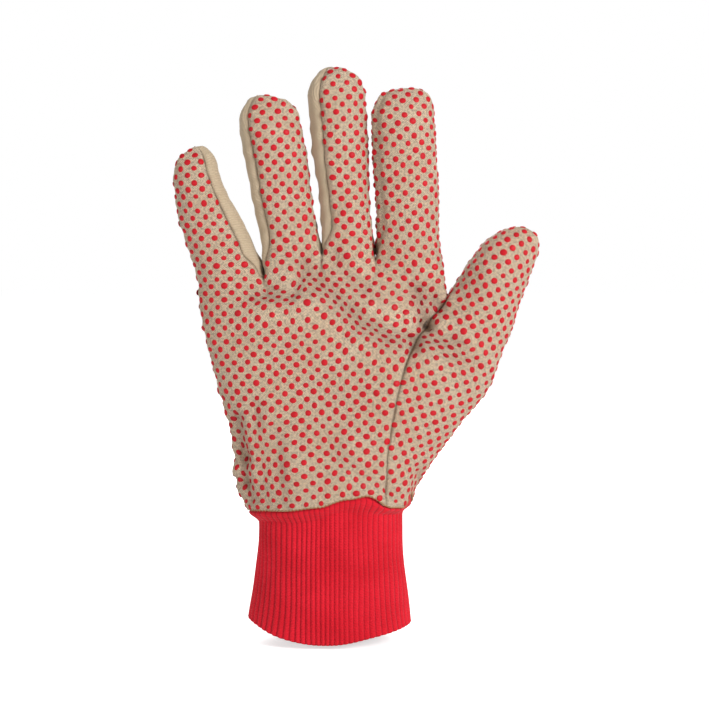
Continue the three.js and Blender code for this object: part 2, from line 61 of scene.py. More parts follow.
# name, length, width, lean, bow, depth, base, crotch, tip, curl, seamOut, seamIn
fingerTable = [
    ("little", 0.726, 0.933, -15.7, -0.05, 0.74, 1.08, 0.88, 1, 1, 0, 52),
    ("ring", 0.887, 0.987, -9.6, 0, 0.74, 0.9, 0.963, 1.08, 0.86, 46, 0),
    ("middle", 1, 0.913, -4.4, 0, 0.8, 0.887, 1.04, 1, 0.86, 52, 0),
    ("index", 1.018, 1.0, -2.7, 0, 0.72, 1.065, 1, 1, 1, 34, 0),
    ("thumb", 0.605, 1.067, 24.2, 0, 0.8, 0.8, 0.832, 1.25, 0.86, 0, 0),
]
fingers = [
    {
        "name": name, "length": length * hand["fingerLength"], "width": width * hand["fingerWidth"],
        "lean": math.radians(lean), "bow": bow, "depth": depth, "base": base, "crotch": crotch,
        "tip": tip * hand["fingerTip"], "curl": curl * hand["fingerCurl"],
        "seamOut": math.radians(seamOut), "seamIn": math.radians(seamIn),
    }
    for name, length, width, lean, bow, depth, base, crotch, tip, curl, seamOut, seamIn in fingerTable
]
thumb = 4

# width of each finger at these shares of its length
widthHeights = [0, 0.25, 0.5, 0.75, 1]
fingerWidths = [
    [1.0, 1.06, 0.98, 0.83, 0.74],
    [0.92, 0.96, 1.0, 1.01, 0.98],
    [0.88, 0.9, 0.96, 1.0, 1.0],
    [1.02, 0.98, 1.0, 1.01, 1.0],
    [1.08, 1.0, 0.94, 0.84, 0.8],
]
tipShift = [0.5, -3.0, -2.6, -3.2, 2.5]  # mm that the tips swing sideways
tipSquare = [(2.3, 2.3), (1.75, 2.1), (1.6, 2.5), (1.9, 5), (1.5, 2.4)]  # how square the tips are, left and right

# hem, wave and way of each line that bounds the strips
lineHeights = [0, 0.12, 0.32, 0.53, 0.74, 0.88, 1]
evenWay = [0, 0.12, 0.32, 0.53, 0.74, 0.88, 1]
lines = {
    "front": [
        (0, -0.1, [0, 0.22, 0.3, 0.57, 0.79, 0.95, 1]),
        (0.235, 0.1, evenWay),
        (0.45, 0.25, evenWay),
        (0.665, 0.8, evenWay),
        (0.84, 1, [0, 0, 0.07, 0.19, 0.4, 0.69, 1]),
        (1, 0.25, [0, 0.07, 0.27, 0.53, 0.8, 0.93, 1]),
    ],
    "back": [
        (0, -0.1, [0, 0.22, 0.3, 0.57, 0.79, 0.95, 1]),
        (0.08, 0.1, [0, 0.1, 0.4, 0.55, 0.62, 0.8, 1]),
        (0.39, -0.3, [0, 0, 0.08, 0.3, 0.75, 0.9, 1]),
        (0.82, -0.35, [0, 0.1, 0.2, 0.2, 0.55, 0.85, 1]),
        (0.94, 0, [0, 0.2, 0.42, 0.6, 0.75, 0.87, 1]),
        (1, 0.25, [0, 0.07, 0.27, 0.53, 0.8, 0.93, 1]),
    ],
}
depthHeights = [0, 0.15, 0.4, 0.75, 1]
depthShares = {"wrist": [1, 0.45, 0, 0, 0], "palm": [0, 0.55, 1, 0.8, 0], "knuckle": [0, 0, 0, 0.2, 1]}

# side, from, to (shares of the palm's width and length), depth and width as shares
mainFolds = [
    ("front", (1, 0.83), (0.83, 0.6), 0.3, 0.9),
    ("front", (0.84, 0.87), (0.86, 0.83), 0.55, 1.0),
    ("front", (0.42, 0.97), (0.66, 0.91), 0.45, 0.7),
    ("front", (0.18, 0.24), (0.23, 0.06), 0.6, 0.6),
    ("front", (0.29, 0.3), (0.32, 0.06), 0.4, 0.7),
    ("front", (0.45, 0.5), (0.62, 0.72), 0.5, 2.6),
    ("front", (0.74, 0.3), (0.78, 0.5), -0.4, 2.4),
    ("back", (0.27, 0.93), (0.29, 0.88), 0.9, 0.8),
    ("back", (0.3, 0.72), (0.42, 0.82), 0.5, 0.8),
    ("back", (0.5, 0.96), (0.48, 0.84), 0.5, 0.7),
    ("back", (0.42, 0.1), (0.5, 0.3), 0.3, 0.9),
]

# side, depth and half width in mm, cloth taken up in mm, then the crease's points (x, z) in mm
creases = [
    ("front", 1.4, 2.4, 1.6, [(34.4, 139.6), (45, 138.2), (57.8, 137)]),
    ("front", 0.9, 2.8, 0.9, [(46.3, 132.5), (55, 131), (64.2, 128.4)]),
    (
        "front", 1.3, 3.4, 2.2,
        [(-11.9, 172), (-4.6, 164.1), (3.7, 155.9), (13.8, 145.8), (25.2, 139.8), (38.5, 134.8)],
    ),
    ("front", 1.0, 3.0, 1.2, [(2, 172), (12, 163), (24, 156)]),
    ("front", 1.2, 2.0, 0.9, [(-11.9, 170.6), (-12.8, 165.1), (-15.1, 161.4), (-17.4, 158.6)]),
    ("front", 1.2, 2.6, 1.7, [(-36, 158), (-28, 158.6), (-18, 157.8), (-10, 160)]),
    ("front", 2.4, 2.6, 1.6, [(-42, 102), (-39.9, 88), (-38.6, 76), (-36, 66)]),
    ("front", 1.2, 2.8, 1.8, [(-34, 108), (-32.5, 92), (-31, 78), (-29, 64)]),
    ("front", 0.7, 3.0, 1.0, [(-25, 98), (-24, 84), (-22, 66)]),
    ("front", 2.2, 2.8, 1.6, [(38.5, 160), (41.5, 152), (43.5, 145)]),
    ("front", 0.9, 2.6, 1.0, [(45, 161), (47, 154), (48, 149)]),
    ("front", 0.7, 3.0, 0.6, [(-2, 96), (6, 84), (16, 78)]),
    ("front", 0.8, 2.2, 0.8, [(24, 74), (27, 69), (29, 66)]),
    ("back", 1.4, 2.4, 0, [(-18.8, 155.9), (-26, 150), (-33.5, 144.4)]),
    ("back", 1.0, 2.6, 0, [(-18, 84), (-21.1, 73.4), (-24, 64)]),
    ("back", 0.8, 3.2, 0, [(10, 160), (2, 150), (-6, 142)]),
    ("back", 0.9, 2.6, 0, [(38, 150), (46, 142), (54, 136)]),
    (
        "back", 1.3, 1.3, 0,
        [(84.8, 175), (77.9, 166), (68.8, 153.1), (63.3, 145.3), (59.6, 136.2), (55, 131)],
    ),
]

# side, depth and radius in mm, x, z of small puckers
puckers = [
    ("front", 1.5, 3.2, 38.5, 134.8),
    ("front", 2.4, 3.4, 43.5, 144.5),
    ("front", 1.8, 3.4, 48, 154.5),
    ("front", 1.2, 3.0, 2, 176),
    ("front", 3.0, 3.4, -40.5, 84.5),
    ("front", 2.4, 2.8, -39.6, 73),
    ("back", 2.0, 3.2, -32.1, 166.4),
    ("back", 1.2, 4.5, -21.1, 73.4),
    ("back", 1.4, 3.0, 12.5, 172),
]

# how far the cloth's edge between two fingers comes round to the palm, by crotch
crotchDrops = {1: 4.6, 2: 3.4, 3: 2.0, 4: 1.2}

# x, how far it moves up, reach: shifts of the hem on the palm side
hemShifts = [
    (-27, 0.4, 8), (-8, 1.3, 8), (6, 2.8, 8), (17, 2.2, 4.5), (26.5, -3.8, 4.2), (33, -2.0, 4), (39, 8.5, 2.8),
]

seams = {
    "depth": 0.9, "width": 1.1, "lip": 0.3, "lipAway": 3.4, "lipWidth": 1.8, "gap": 0.06,
    "pucker": 0.35, "pitch": 9.0, "secondPitch": 5.3, "fade": 7.0,
    "softAt": (45.5, 145, 13, 0.15),  # x, z, radius and what is left of the seam there
    "sample": 0.4, "apart": 3.7, "sway": 1.7, "swayPitch": 17, "flat": 1.2, "atHem": 0.35,
}
cloth = {
    "broad": 0.42, "broadSize": 24, "fine": 0.14, "fineSize": 7.5,
    "creaseLip": 0.28, "puckerLip": 0.2, "creaseShade": 2.4, "puckerShade": 2.6,
    "lowShade": (85, 125, 0.4),  # lighter below these heights, and what is left of the shade there
}


def mix(a, b, share):
    return a + (b - a) * share


def smooth(start, end, value):
    share = np.clip((value - start) / (end - start), 0, 1)
    return share * share * (3 - 2 * share)


def lookUp(xs, ys, x):  # smooth curve through a table, without overshoot
    xs, ys = np.asarray(xs, float), np.asarray(ys, float)
    steps = np.diff(ys) / np.diff(xs)
    slopes = np.zeros(len(xs))
    for i in range(1, len(xs) - 1):
        if steps[i - 1] * steps[i] > 0:
            slopes[i] = 2 * steps[i - 1] * steps[i] / (steps[i - 1] + steps[i])
    slopes[0], slopes[-1] = steps[0], steps[-1]
    i = int(np.clip(np.searchsorted(xs, x) - 1, 0, len(xs) - 2))
    width = xs[i + 1] - xs[i]
    t = min(1, max(0, (x - xs[i]) / width))
    return (
        ys[i] * (1 + 2 * t) * (1 - t) ** 2 + slopes[i] * width * t * (1 - t) ** 2
        + ys[i + 1] * t * t * (3 - 2 * t) + slopes[i + 1] * width * t * t * (t - 1)
    )


palmWidth = sum(f["width"] * f["base"] for f in fingers[:thumb])
hemWidth = cuff["width"] + 2 * cuff["flare"]
hemHalfDepth = cuff["depth"] / 2 + cuff["flareDeep"]


def crotchPoints():
    points = []
    x = hand["palmShift"] - palmWidth / 2
    for f in fingers[:thumb]:
        points.append((x, cuff["length"] + f["crotch"] * hand["palmLength"]))
        x += f["width"] * f["base"]
    points.append((x, cuff["length"] + fingers[thumb]["crotch"] * hand["palmLength"]))
    x += fingers[thumb]["width"] * fingers[thumb]["base"]
    points.append((x, cuff["length"] + hand["thumbBaseHeight"] * hand["palmLength"]))
    return points


crotches = crotchPoints()
thickness = [f["width"] * f["depth"] for f in fingers]
webs = [0] + [hand["webShare"] * min(a, b) / 2 for a, b in zip(thickness, thickness[1:])] + [0]


def linePoint(side, j, up):
    hem, wave, way = lines[side][j]
    x = mix((hem - 0.5) * hemWidth, crotches[j][0], lookUp(lineHeights, way, up))
    return x, mix(cuff["length"] + wave * hand["hemWave"], crotches[j][1], up)


def middleDepth(j, up):
    return -[0, 0, 0, 0.1, 0.4, 1][j] * hand["thumbForward"] * smooth(0.1, 1, up)


def parting(j, up):
    return smooth(0.5, 1, up) if j >= thumb else smooth(0.84, 1, up)


def foldAt(side, x, z):
    total = np.zeros_like(x)
    for where, start, end, depth, width in mainFolds:
        if where != side:
            continue
        run = np.array([(end[0] - start[0]) * palmWidth, (end[1] - start[1]) * hand["palmLength"]])
        hereX = x - crotches[0][0] - start[0] * palmWidth
        hereZ = z - cuff["length"] - start[1] * hand["palmLength"]
        share = np.clip((hereX * run[0] + hereZ * run[1]) / run.dot(run), 0, 1)
        away = np.hypot(hereX - run[0] * share, hereZ - run[1] * share) / (hand["foldWidth"] * width)
        total += depth * hand["foldDepth"] * np.exp(-away * away)
    return total


def palmRun(side, k, up, across):  # points across strip k of the palm or the back
    ends = [linePoint(side, j, up) for j in range(6)]
    spans = [math.hypot(b[0] - a[0], b[1] - a[1]) for a, b in zip(ends, ends[1:])]
    total = sum(spans)
    q = 2 * (sum(spans[:k]) + spans[k] * across) / total - 1
    depths = (
        lookUp(depthHeights, depthShares["wrist"], up) * hemHalfDepth
        + lookUp(depthHeights, depthShares["palm"], up) * hand["palmDepth"] / 2
        + lookUp(depthHeights, depthShares["knuckle"], up) * hand["knuckleDepth"] / 2
    )
    power = mix(2.05, 2.5, smooth(0, 0.4, up))
    rounded = (1 - np.minimum(1, np.abs(q)) ** power) ** (1 / power)
    turn = np.arccos(np.clip(1 - 2 * across, -1, 1))
    web = np.where(turn < math.pi / 2, webs[k], webs[k + 1])
    own = web + (thickness[k] / 2 - web) * np.sin(turn)
    part = mix(parting(k, up), parting(k + 1, up), across)
    half = mix(depths * rounded, own, part)
    centre = mix(middleDepth(k, up), middleDepth(k + 1, up), across)
    x = mix(ends[k][0], ends[k + 1][0], across)
    z = mix(ends[k][1], ends[k + 1][1], across)
    fold = foldAt(side, x, z) * np.minimum(1, rounded * 1.5)
    sign = -1 if side == "front" else 1
    return np.stack([x, centre + sign * (half - fold), z], axis=1)


def axisOf(lean):  # the way up a leaning finger, in the plane of the hand
    return np.array([math.sin(lean), math.cos(lean)])


def asideOf(lean):
    return np.array([math.cos(lean), -math.sin(lean)])


def fingerRun(k, up, turn, flat=False):  # points round finger k: front 0 to pi, back 0 to -pi
    f = fingers[k]
    left, right = np.array(crotches[k]), np.array(crotches[k + 1])
    base = (left + right) / 2
    axis, sideways = axisOf(f["lean"]), asideOf(f["lean"])
    tipShare = np.clip((up - 1) * f["length"] / f["tip"] + 1, 0, 1)
    wide = [(1 - tipShare ** power) ** (1 / power) for power in tipSquare[k]]
    slopeShare = np.clip((up - 1) * f["length"] / (1.7 * f["tip"]) + 1, 0, 1)
    deep = (1 - slopeShare ** 1.8) ** (1 / 1.8)
    halfWidth = f["width"] / 2 * lookUp(widthHeights, fingerWidths[k], up)
    settle = smooth(0, 0.4, up)
    ease = hand["crotchEase"] * math.sqrt(min(1, up * f["length"] / 8))
    edges = []
    for j, crotch in enumerate((left, right)):
        offset = crotch - base
        lateral = mix(abs(offset.dot(sideways)), halfWidth, settle) - ease
        along = up * f["length"] + offset.dot(axis) * (1 - min(1, up / 0.45)) ** 2
        out = (-1 if j == 0 else 1) * lateral * wide[j] + f["bow"] * f["length"] * math.sin(math.pi * up ** 1.8)
        out += tipShift[k] * tipShare ** 2
        edges.append(base + axis * along + sideways * out)
    across = (1 - np.cos(turn)) / 2
    point = edges[0][None, :] + (edges[1] - edges[0])[None, :] * across[:, None]
    rise = up * f["length"] / hand["webRise"]
    webHeight = math.cos(math.pi / 2 * rise) if rise < 1 else 0
    web = np.where(np.cos(turn) > 0, webs[k], webs[k + 1]) * webHeight
    half = web + (thickness[k] / 2 - web) * np.abs(np.sin(turn)) * deep
    start = mix(middleDepth(k, 1), middleDepth(k + 1, 1), across)
    own = (middleDepth(k, 1) + middleDepth(k + 1, 1)) / 2
    centre = mix(start, own, smooth(0, 0.5, up)) - f["curl"] * up * up
    y = centre if flat else centre + np.where(np.sin(turn) > 0, -1, 1) * half
    return np.stack([point[:, 0], y + np.zeros_like(turn), point[:, 1]], axis=1)


def reach(points):  # distances along a run of points
    return np.concatenate([[0], np.cumsum(np.linalg.norm(np.diff(points, axis=0), axis=1))])


def placeAt(points, runs, wanted):
    return np.stack([np.interp(wanted, runs, points[:, i]) for i in range(3)], axis=1)


def halfLoop(k, up, side):  # dense run round one side of a finger, from seam level to seam level
    turns = np.linspace(0, math.pi, 121)[1:-1] * (1 if side == "front" else -1)
    flat = fingerRun(k, up, np.array([0.0, math.pi]), True)
    curve = fingerRun(k, up, turns)
    ends = fingerRun(k, up, np.array([1e-7, math.pi - 1e-7]) * (1 if side == "front" else -1))
    return np.concatenate([flat[:1], ends[:1], curve, ends[1:], flat[1:]])


def turnPlace(turn, runs):  # distance along the front's half loop at a turn
    turns = np.linspace(0, math.pi, 121)
    return np.interp(turn, turns, runs[1:-1])


def nearLine(x, z, line):  # distance to a crease's line, way to it and share along it
    line = np.array(line, float)
    lengths = np.linalg.norm(np.diff(line, axis=0), axis=1)
    best, across, along = np.full(len(x), 1e9), np.zeros((len(x), 2)), np.zeros(len(x))
    for i, (start, run) in enumerate(zip(line, np.diff(line, axis=0))):
        share = np.clip(((x - start[0]) * run[0] + (z - start[1]) * run[1]) / run.dot(run), 0, 1)
        off = np.stack([x - start[0] - run[0] * share, z - start[1] - run[1] * share], axis=1)
        away = np.linalg.norm(off, axis=1)
        nearer = away < best
        best[nearer], across[nearer] = away[nearer], off[nearer]
        along[nearer] = (lengths[:i].sum() + share[nearer] * lengths[i]) / lengths.sum()
    return best, across, along


def takeUp(row, flat):  # flat places with the cloth that the palm's creases take up
    flat = flat.copy()
    for side, depth, width, taken, line in creases:
        if side == "front" and taken:
            away, across, along = nearLine(row[:, 0], row[:, 2], line)
            fade = smooth(0, 0.3, along) * smooth(1, 0.7, along) + 0.25
            fade *= np.exp(-((away / (2.6 * width)) ** 2))
            flat += across * (taken / width * fade)[:, None]
    return flat


def layRow(row, start, first, lean):  # flat places of a row of points, from one of them on
    flat = np.zeros((len(row), 2))
    flat[start] = first
    plane = row[:, [0, 2]]
    axis, sideways = axisOf(lean), asideOf(lean)
    for i in list(range(start + 1, len(row))) + list(range(start - 1, -1, -1)):
        back = i - 1 if i > start else i + 1
        step = plane[i] - plane[back]
        out = math.hypot(step.dot(sideways), row[i, 1] - row[back, 1])
        flat[i] = flat[back] + sideways * out * (1 if i > start else -1) + axis * step.dot(axis)
    return flat


# The shell is woven in five strips, from the hem to the crotches and on up the fingers: its points in mm,
# its faces, the panel of each face and the place of each face's corners on the flat cloth.
points, faces, labels, flats = [], [], [], []
panelOf = {"front": [0, 0, 0, 0, 1], "back": [4, 3, 2, 0, 1]}
sides = ("front", "back")
mirrored = np.array([-1, 1])
rowCount = int(hand["palmLength"] / hand["rowStep"])
stripCounts = [hand["stripColumns"] + (hand["webColumns"] if k in (0, thumb) else 0) for k in range(5)]
stripStarts = [sum(stripCounts[:k]) for k in range(6)]
stripMiddle = hand["stripColumns"] // 2
thumbLean = fingers[thumb]["lean"]


def addPoints(places):
    start = len(points)
    points.extend(places)
    return list(range(start, start + len(places)))


def spots(row):
    return np.array([points[i] for i in row])


def addFace(corners, places, label, flip):
    faces.append(corners[::-1] if flip else corners)
    flats.append(places[::-1] if flip else places)
    labels.append(label)


def weave(rows, laid, label, flip):  # bands of faces between rows
    for below, above, flatBelow, flatAbove in zip(rows, rows[1:], laid, laid[1:]):
        for i in range(len(below) - 1):
            corners = [below[i], below[i + 1], above[i + 1], above[i]]
            addFace(corners, [flatBelow[i], flatBelow[i + 1], flatAbove[i + 1], flatAbove[i]], label, flip)


def buildPalmRows():
    dense = (1 - np.cos(np.linspace(0, math.pi, 161))) / 2
    rows = {"front": [], "back": []}
    for r in range(rowCount + 1):
        for side in sides:
            row = []
            for k in range(5):
                run = palmRun(side, k, r / rowCount, dense)
                runs = reach(run)
                where = placeAt(run, runs, np.linspace(0, runs[-1], stripCounts[k] + 1))
                if k == 0 and side == "back":
                    row.append(rows["front"][r][0])
                if k > 0 or side == "back":
                    where = where[1:]
                if k == thumb and side == "back":
                    row += addPoints(where[:-1]) + [rows["front"][r][-1]]
                else:
                    row += addPoints(where)
            rows[side].append(row)
    return rows


def strip(side, k, r):
    return palmRows[side][r][stripStarts[k]:stripStarts[k + 1] + 1]


def stripRows(side, k):
    return [strip(side, k, r) for r in range(rowCount + 1)]


def layPalm():  # the palm is laid flat from its middle line on, the thumb's base from its outer edge
    palmFlats, thumbFlats, centre = [], {"front": [], "back": []}, None
    for r in range(rowCount + 1):
        row = spots(palmRows["front"][r])
        palmFlats.append(layRow(row, stripStarts[2], row[stripStarts[2]][[0, 2]], 0))
        front, back = spots(strip("front", thumb, r)), spots(strip("back", thumb, r)[::-1])
        if r == 0:
            centre = front[-1][[0, 2]]
        else:
            centre = centre + axisOf(thumbLean) * np.linalg.norm(front[-1] - edge)
        edge = front[-1]
        thumbFlats["front"].append(layRow(front, len(front) - 1, centre, thumbLean))
        thumbFlats["back"].append(layRow(back, 0, centre, thumbLean)[::-1])
        palmFlats[-1][stripStarts[thumb] + 1:] = thumbFlats["front"][-1][1:]
    for k in range(4):
        columns = slice(stripStarts[k], stripStarts[k + 1] + 1)
        weave(stripRows("front", k), [flat[columns] for flat in palmFlats], 0, False)
    for side in sides:
        weave(stripRows(side, thumb), thumbFlats[side], 1, side == "back")
    for k in range(3):
        laid = []
        for row in map(spots, stripRows("back", k)):
            middle = len(row) // 2
            laid.append(layRow(row, middle, row[middle][[0, 2]], 0) * mirrored)
        weave(stripRows("back", k), laid, panelOf["back"][k], True)
    return palmFlats[-1], centre


def buildWebs():  # runs of points between two fingers, from the crotch's middle to the front and back lines
    found = {}
    for j in range(1, 5):
        ends = [palmRows[side][-1][stripStarts[j]] for side in sides]
        middle = addPoints([(points[ends[0]] + points[ends[1]]) / 2])[0]
        for side, end in zip(sides, ends):
            shares = [i / hand["webColumns"] for i in range(1, hand["webColumns"])]
            inner = addPoints([mix(points[middle], points[end], share) for share in shares])
            found[j, side] = [middle] + inner + [end]
    return found


def fingerStart(k):  # the loop that a finger starts from, as its front and back
    halves = {side: strip(side, k, -1) for side in sides}
    for j in (k, k + 1):
        if j in (0, 5):
            continue
        if j in (1, 2):  # here the twill takes the whole web
            added = {"back": webRuns[j, "front"][::-1] + webRuns[j, "back"][1:]}
        else:
            added = {side: webRuns[j, side] for side in sides}
        for side, run in added.items():
            halves[side] = run[:-1] + halves[side] if j == k else halves[side] + run[::-1][1:]
    return halves


def seamPlaces(k, up, runs):  # where the palm side's cloth starts and ends round a finger
    f = fingers[k]
    webOut = webs[k] if k in (1, 2) else 0
    webIn = webs[k + 1] if k in (0, 1) else 0
    rise = smooth(0, 0.15, up)
    height = math.cos(math.pi / 2 * min(1, up * f["length"] / hand["webRise"]))
    start = turnPlace(f["seamOut"] * rise, runs) if f["seamOut"] else 0
    if webOut:
        start = max(start, webOut * height)
    else:
        start *= smooth(0, 0.28, up)
    end = turnPlace(math.pi - f["seamIn"] * rise, runs) if f["seamIn"] else runs[-1]
    if webIn:
        end = min(end, runs[-1] - webIn * height)
    return start, end


def straightRows(k):
    f = fingers[k]
    return int((1 - f["tip"] / f["length"]) * f["length"] / hand["rowStep"])


def buildFinger(k):  # rows of points from the crotches to the tip, and the point that closes them
    f = fingers[k]
    rows = [fingerStart(k)]
    shares = {}
    for side in sides:
        runs = reach(spots(rows[0][side]))
        shares[side] = runs / runs[-1]
    tipStart = 1 - f["tip"] / f["length"]
    straight = straightRows(k)
    tipTurn = math.pi / 2 / (hand["tipRows"] + 0.4)
    ups = [tipStart * i / straight for i in range(1, straight + 1)]
    ups += [mix(tipStart, 1, math.sin(i * tipTurn)) for i in range(1, hand["tipRows"] + 1)]
    for up in ups:
        front, back = halfLoop(k, up, "front"), halfLoop(k, up, "back")
        start, end = seamPlaces(k, up, reach(front))
        girth = reach(front)[-1] + reach(back)[-1]
        loop = np.concatenate([front, back[::-1][1:]])
        loop = np.concatenate([loop, loop[1:]])
        runs = reach(loop)
        even = [mix(shares[side], np.linspace(0, 1, len(shares[side])), smooth(0, 0.15, up)) for side in sides]
        row = {"front": addPoints(placeAt(loop, runs, mix(start, end, even[0])))}
        inner = addPoints(placeAt(loop, runs, mix(start + girth, end, even[1])[1:-1]))
        row["back"] = [row["front"][0]] + inner + [row["front"][-1]]
        rows.append(row)
    return rows, addPoints(fingerRun(k, 1, np.array([0.0]), True))[0]


def climb(flat, below, above):  # flat place of a point above another one, at its real distance
    step = above - below
    drawn = step[[0, 2]]
    return flat + drawn / max(np.linalg.norm(drawn), 1e-9) * np.linalg.norm(step)


def layUp(k, rows, pole, count):  # each row out from a middle column that goes up by its real length
    begin = rows[0]["front"].index(strip("front", k, -1)[stripMiddle])
    middle = len(rows[0]["front"]) // 2
    centre = palmTop[stripStarts[k] + stripMiddle]
    laid = {"front": [], "back": []}
    for r, row in enumerate(rows[:count]):
        share = r / len(rows)
        lean = fingers[k]["lean"] * smooth(0, 0.25, share)
        use = int(round(mix(begin, middle, min(1, share * 4))))
        if r:
            centre = climb(laid["front"][-1][use], points[rows[r - 1]["front"][use]], points[row["front"][use]])
        laid["front"].append(layRow(spots(row["front"]), use, centre, lean))
        if k == 3:  # dotted cloth goes on round the finger
            laid["back"].append(layRow(spots(row["back"][::-1]), 0, laid["front"][-1][-1], lean)[::-1])
        else:
            around = spots(row["back"])
            at = len(around) // 2
            laid["back"].append(layRow(around, at, around[at][[0, 2]], lean) * mirrored)
    front = climb(laid["front"][-1][middle], points[rows[-1]["front"][middle]], points[pole])
    return laid, {"front": front, "back": laid["back"][-1].mean(axis=0)}


def layThumb(rows, count):  # up the thumb's outer edge
    laid = {"front": [], "back": []}
    for r, row in enumerate(rows[:count]):
        outer = points[row["front"][-1]]
        centre = centre + axisOf(thumbLean) * np.linalg.norm(outer - before) if r else thumbTop
        before = outer
        laid["front"].append(layRow(spots(row["front"]), len(row["front"]) - 1, centre, thumbLean))
        laid["back"].append(layRow(spots(row["back"][::-1]), 0, centre, thumbLean)[::-1])
    return laid


def layTip(k, rows, pole, laid):  # tip of the index finger or thumb, each side from its own middle
    lean, tops = fingers[k]["lean"], {}
    for r in range(len(laid["front"]), len(rows) + 1):
        for side, way in (("front", 1), ("back", -1)):
            at = len(rows[r - 1][side]) // 2
            above = pole if r == len(rows) else rows[r][side][::way][at]
            length = np.linalg.norm(points[above] - points[rows[r - 1][side][::way][at]])
            centre = laid[side][r - 1][::way][at] + axisOf(lean) * length
            if r == len(rows):
                tops[side] = centre
            else:
                laid[side].append(layRow(spots(rows[r][side][::way]), at, centre, lean)[::way])
    return tops


def weaveFinger(k):
    rows, pole = fingerRows[k]
    if k < 3:
        laid, tops = layUp(k, rows, pole, len(rows))
    else:
        count = straightRows(k) + 1
        laid = layThumb(rows, count) if k == thumb else layUp(k, rows, pole, count)[0]
        tops = layTip(k, rows, pole, laid)
    for side in sides:
        weave([row[side] for row in rows], laid[side], panelOf[side][k], side == "back")
        last, spread = rows[-1][side], laid[side][-1]
        for i in range(len(last) - 1):
            places = [spread[i], spread[i + 1], tops[side]]
            addFace([last[i], last[i + 1], pole], places, panelOf[side][k], side == "back")
    return laid


def weaveIndexStrip(rows, laid):  # dotted cloth on the back, below the index finger
    begin = rows[0]["back"].index(strip("back", 3, -1)[0])
    top = laid["back"][0][begin:begin + hand["stripColumns"] + 1]
    corner = points[strip("back", 3, -1)[-1]]
    above = top
    for r in range(rowCount - 1, -1, -1):
        here = spots(strip("back", 3, r)[::-1])
        first = top[-1] + np.array([corner[0] - here[0][0], here[0][2] - corner[2]])
        below = layRow(here, 0, first, 0)[::-1]
        weave([strip("back", 3, r), strip("back", 3, r + 1)], [below, above], 0, True)
        above = below


print("shell: building the surface")
palmRows = buildPalmRows()
palmTop, thumbTop = layPalm()
webRuns = buildWebs()
fingerRows = [buildFinger(k) for k in range(5)]
for k in range(5):
    laid = weaveFinger(k)
    if k == 3:
        weaveIndexStrip(fingerRows[k][0], laid)
points, labels = np.array(points), np.array(labels)


def vertexNormals(points, faces):
    normals = np.zeros_like(points)
    corners = np.array([[f[0], f[1], f[2]] for f in faces])
    others = np.array([[f[0], f[2], f[3]] if len(f) == 4 else [f[0], f[1], f[2]] for f in faces])
    for tri in (corners, others):
        a, b, c = points[tri[:, 0]], points[tri[:, 1]], points[tri[:, 2]]
        face = np.cross(b - a, c - a)
        for i in range(3):
            np.add.at(normals, tri[:, i], face)
    return normals / np.maximum(np.linalg.norm(normals, axis=1, keepdims=True), 1e-12)


def roughField(points, size, seed, waves=28):  # smooth random field, about -1 to 1
    draw = np.random.default_rng(seed)
    total = np.zeros(len(points))
    for _ in range(waves):
        way = draw.normal(size=3)
        way *= 2 * math.pi / (size * draw.uniform(0.75, 1.4)) / np.linalg.norm(way)
        total += np.cos(points @ way + draw.uniform(0, 2 * math.pi))
    return total / math.sqrt(waves / 2) / 1.6


def seamLines():  # runs of vertices along the seams, in order
    panelsAt = {}
    for face, label in zip(faces, labels):
        for a, b in zip(face, face[1:] + face[:1]):
            panelsAt.setdefault((min(a, b), max(a, b)), set()).add(label)
    edges = [edge for edge, found in panelsAt.items() if len(found) > 1]
    rows, pole = fingerRows[3]
    closing = [row["front"][0] for row in rows] + [pole]
    edges += [(min(a, b), max(a, b)) for a, b in zip(closing, closing[1:])]
    joined = {}
    for a, b in edges:
        joined.setdefault(a, []).append(b)
        joined.setdefault(b, []).append(a)
    chains, used = [], set()
    for start in sorted(joined, key=lambda v: (len(joined[v]) == 2, v)):
        for following in joined[start]:
            if (start, following) in used:
                continue
            chain = [start, following]
            used |= {(start, following), (following, start)}
            while len(joined[chain[-1]]) == 2:
                ahead = [v for v in joined[chain[-1]] if (chain[-1], v) not in used]
                if not ahead:
                    break
                used |= {(chain[-1], ahead[0]), (ahead[0], chain[-1])}
                chain.append(ahead[0])
            chains.append(chain)
    return chains


knuckles = {"rows": 9, "rounds": 30, "share": 0.6}


def easeKnuckles():  # evens out the depth where the fingers' own rows begin
    reachUp = knuckles["rows"]
    weight = np.zeros(len(points))
    for side in ("front", "back"):
        for k in range(5):
            first, last = stripStarts[k], stripStarts[k + 1]
            inside = np.sin(np.linspace(0, math.pi, last - first + 1)) ** 0.7
            for r in range(reachUp + 1):
                row = palmRows[side][-1 - r][first:last + 1]
                weight[row] = np.maximum(weight[row], inside * (1 - r / (reachUp + 1)))
            for r in range(1, reachUp + 1):
                row = fingerRows[k][0][r][side]
                inside = np.sin(np.linspace(0, math.pi, len(row))) ** 1.5
                weight[row] = np.maximum(weight[row], inside * (1 - r / (reachUp + 1)))
    edges = np.array(sorted({tuple(sorted(e)) for face in faces for e in zip(face, face[1:] + face[:1])}))
    count = np.bincount(edges.ravel(), minlength=len(points))
    for _ in range(knuckles["rounds"]):
        total = np.zeros(len(points))
        np.add.at(total, edges[:, 0], points[edges[:, 1], 1])
        np.add.at(total, edges[:, 1], points[edges[:, 0], 1])
        points[:, 1] += weight * knuckles["share"] * (total / count - points[:, 1])


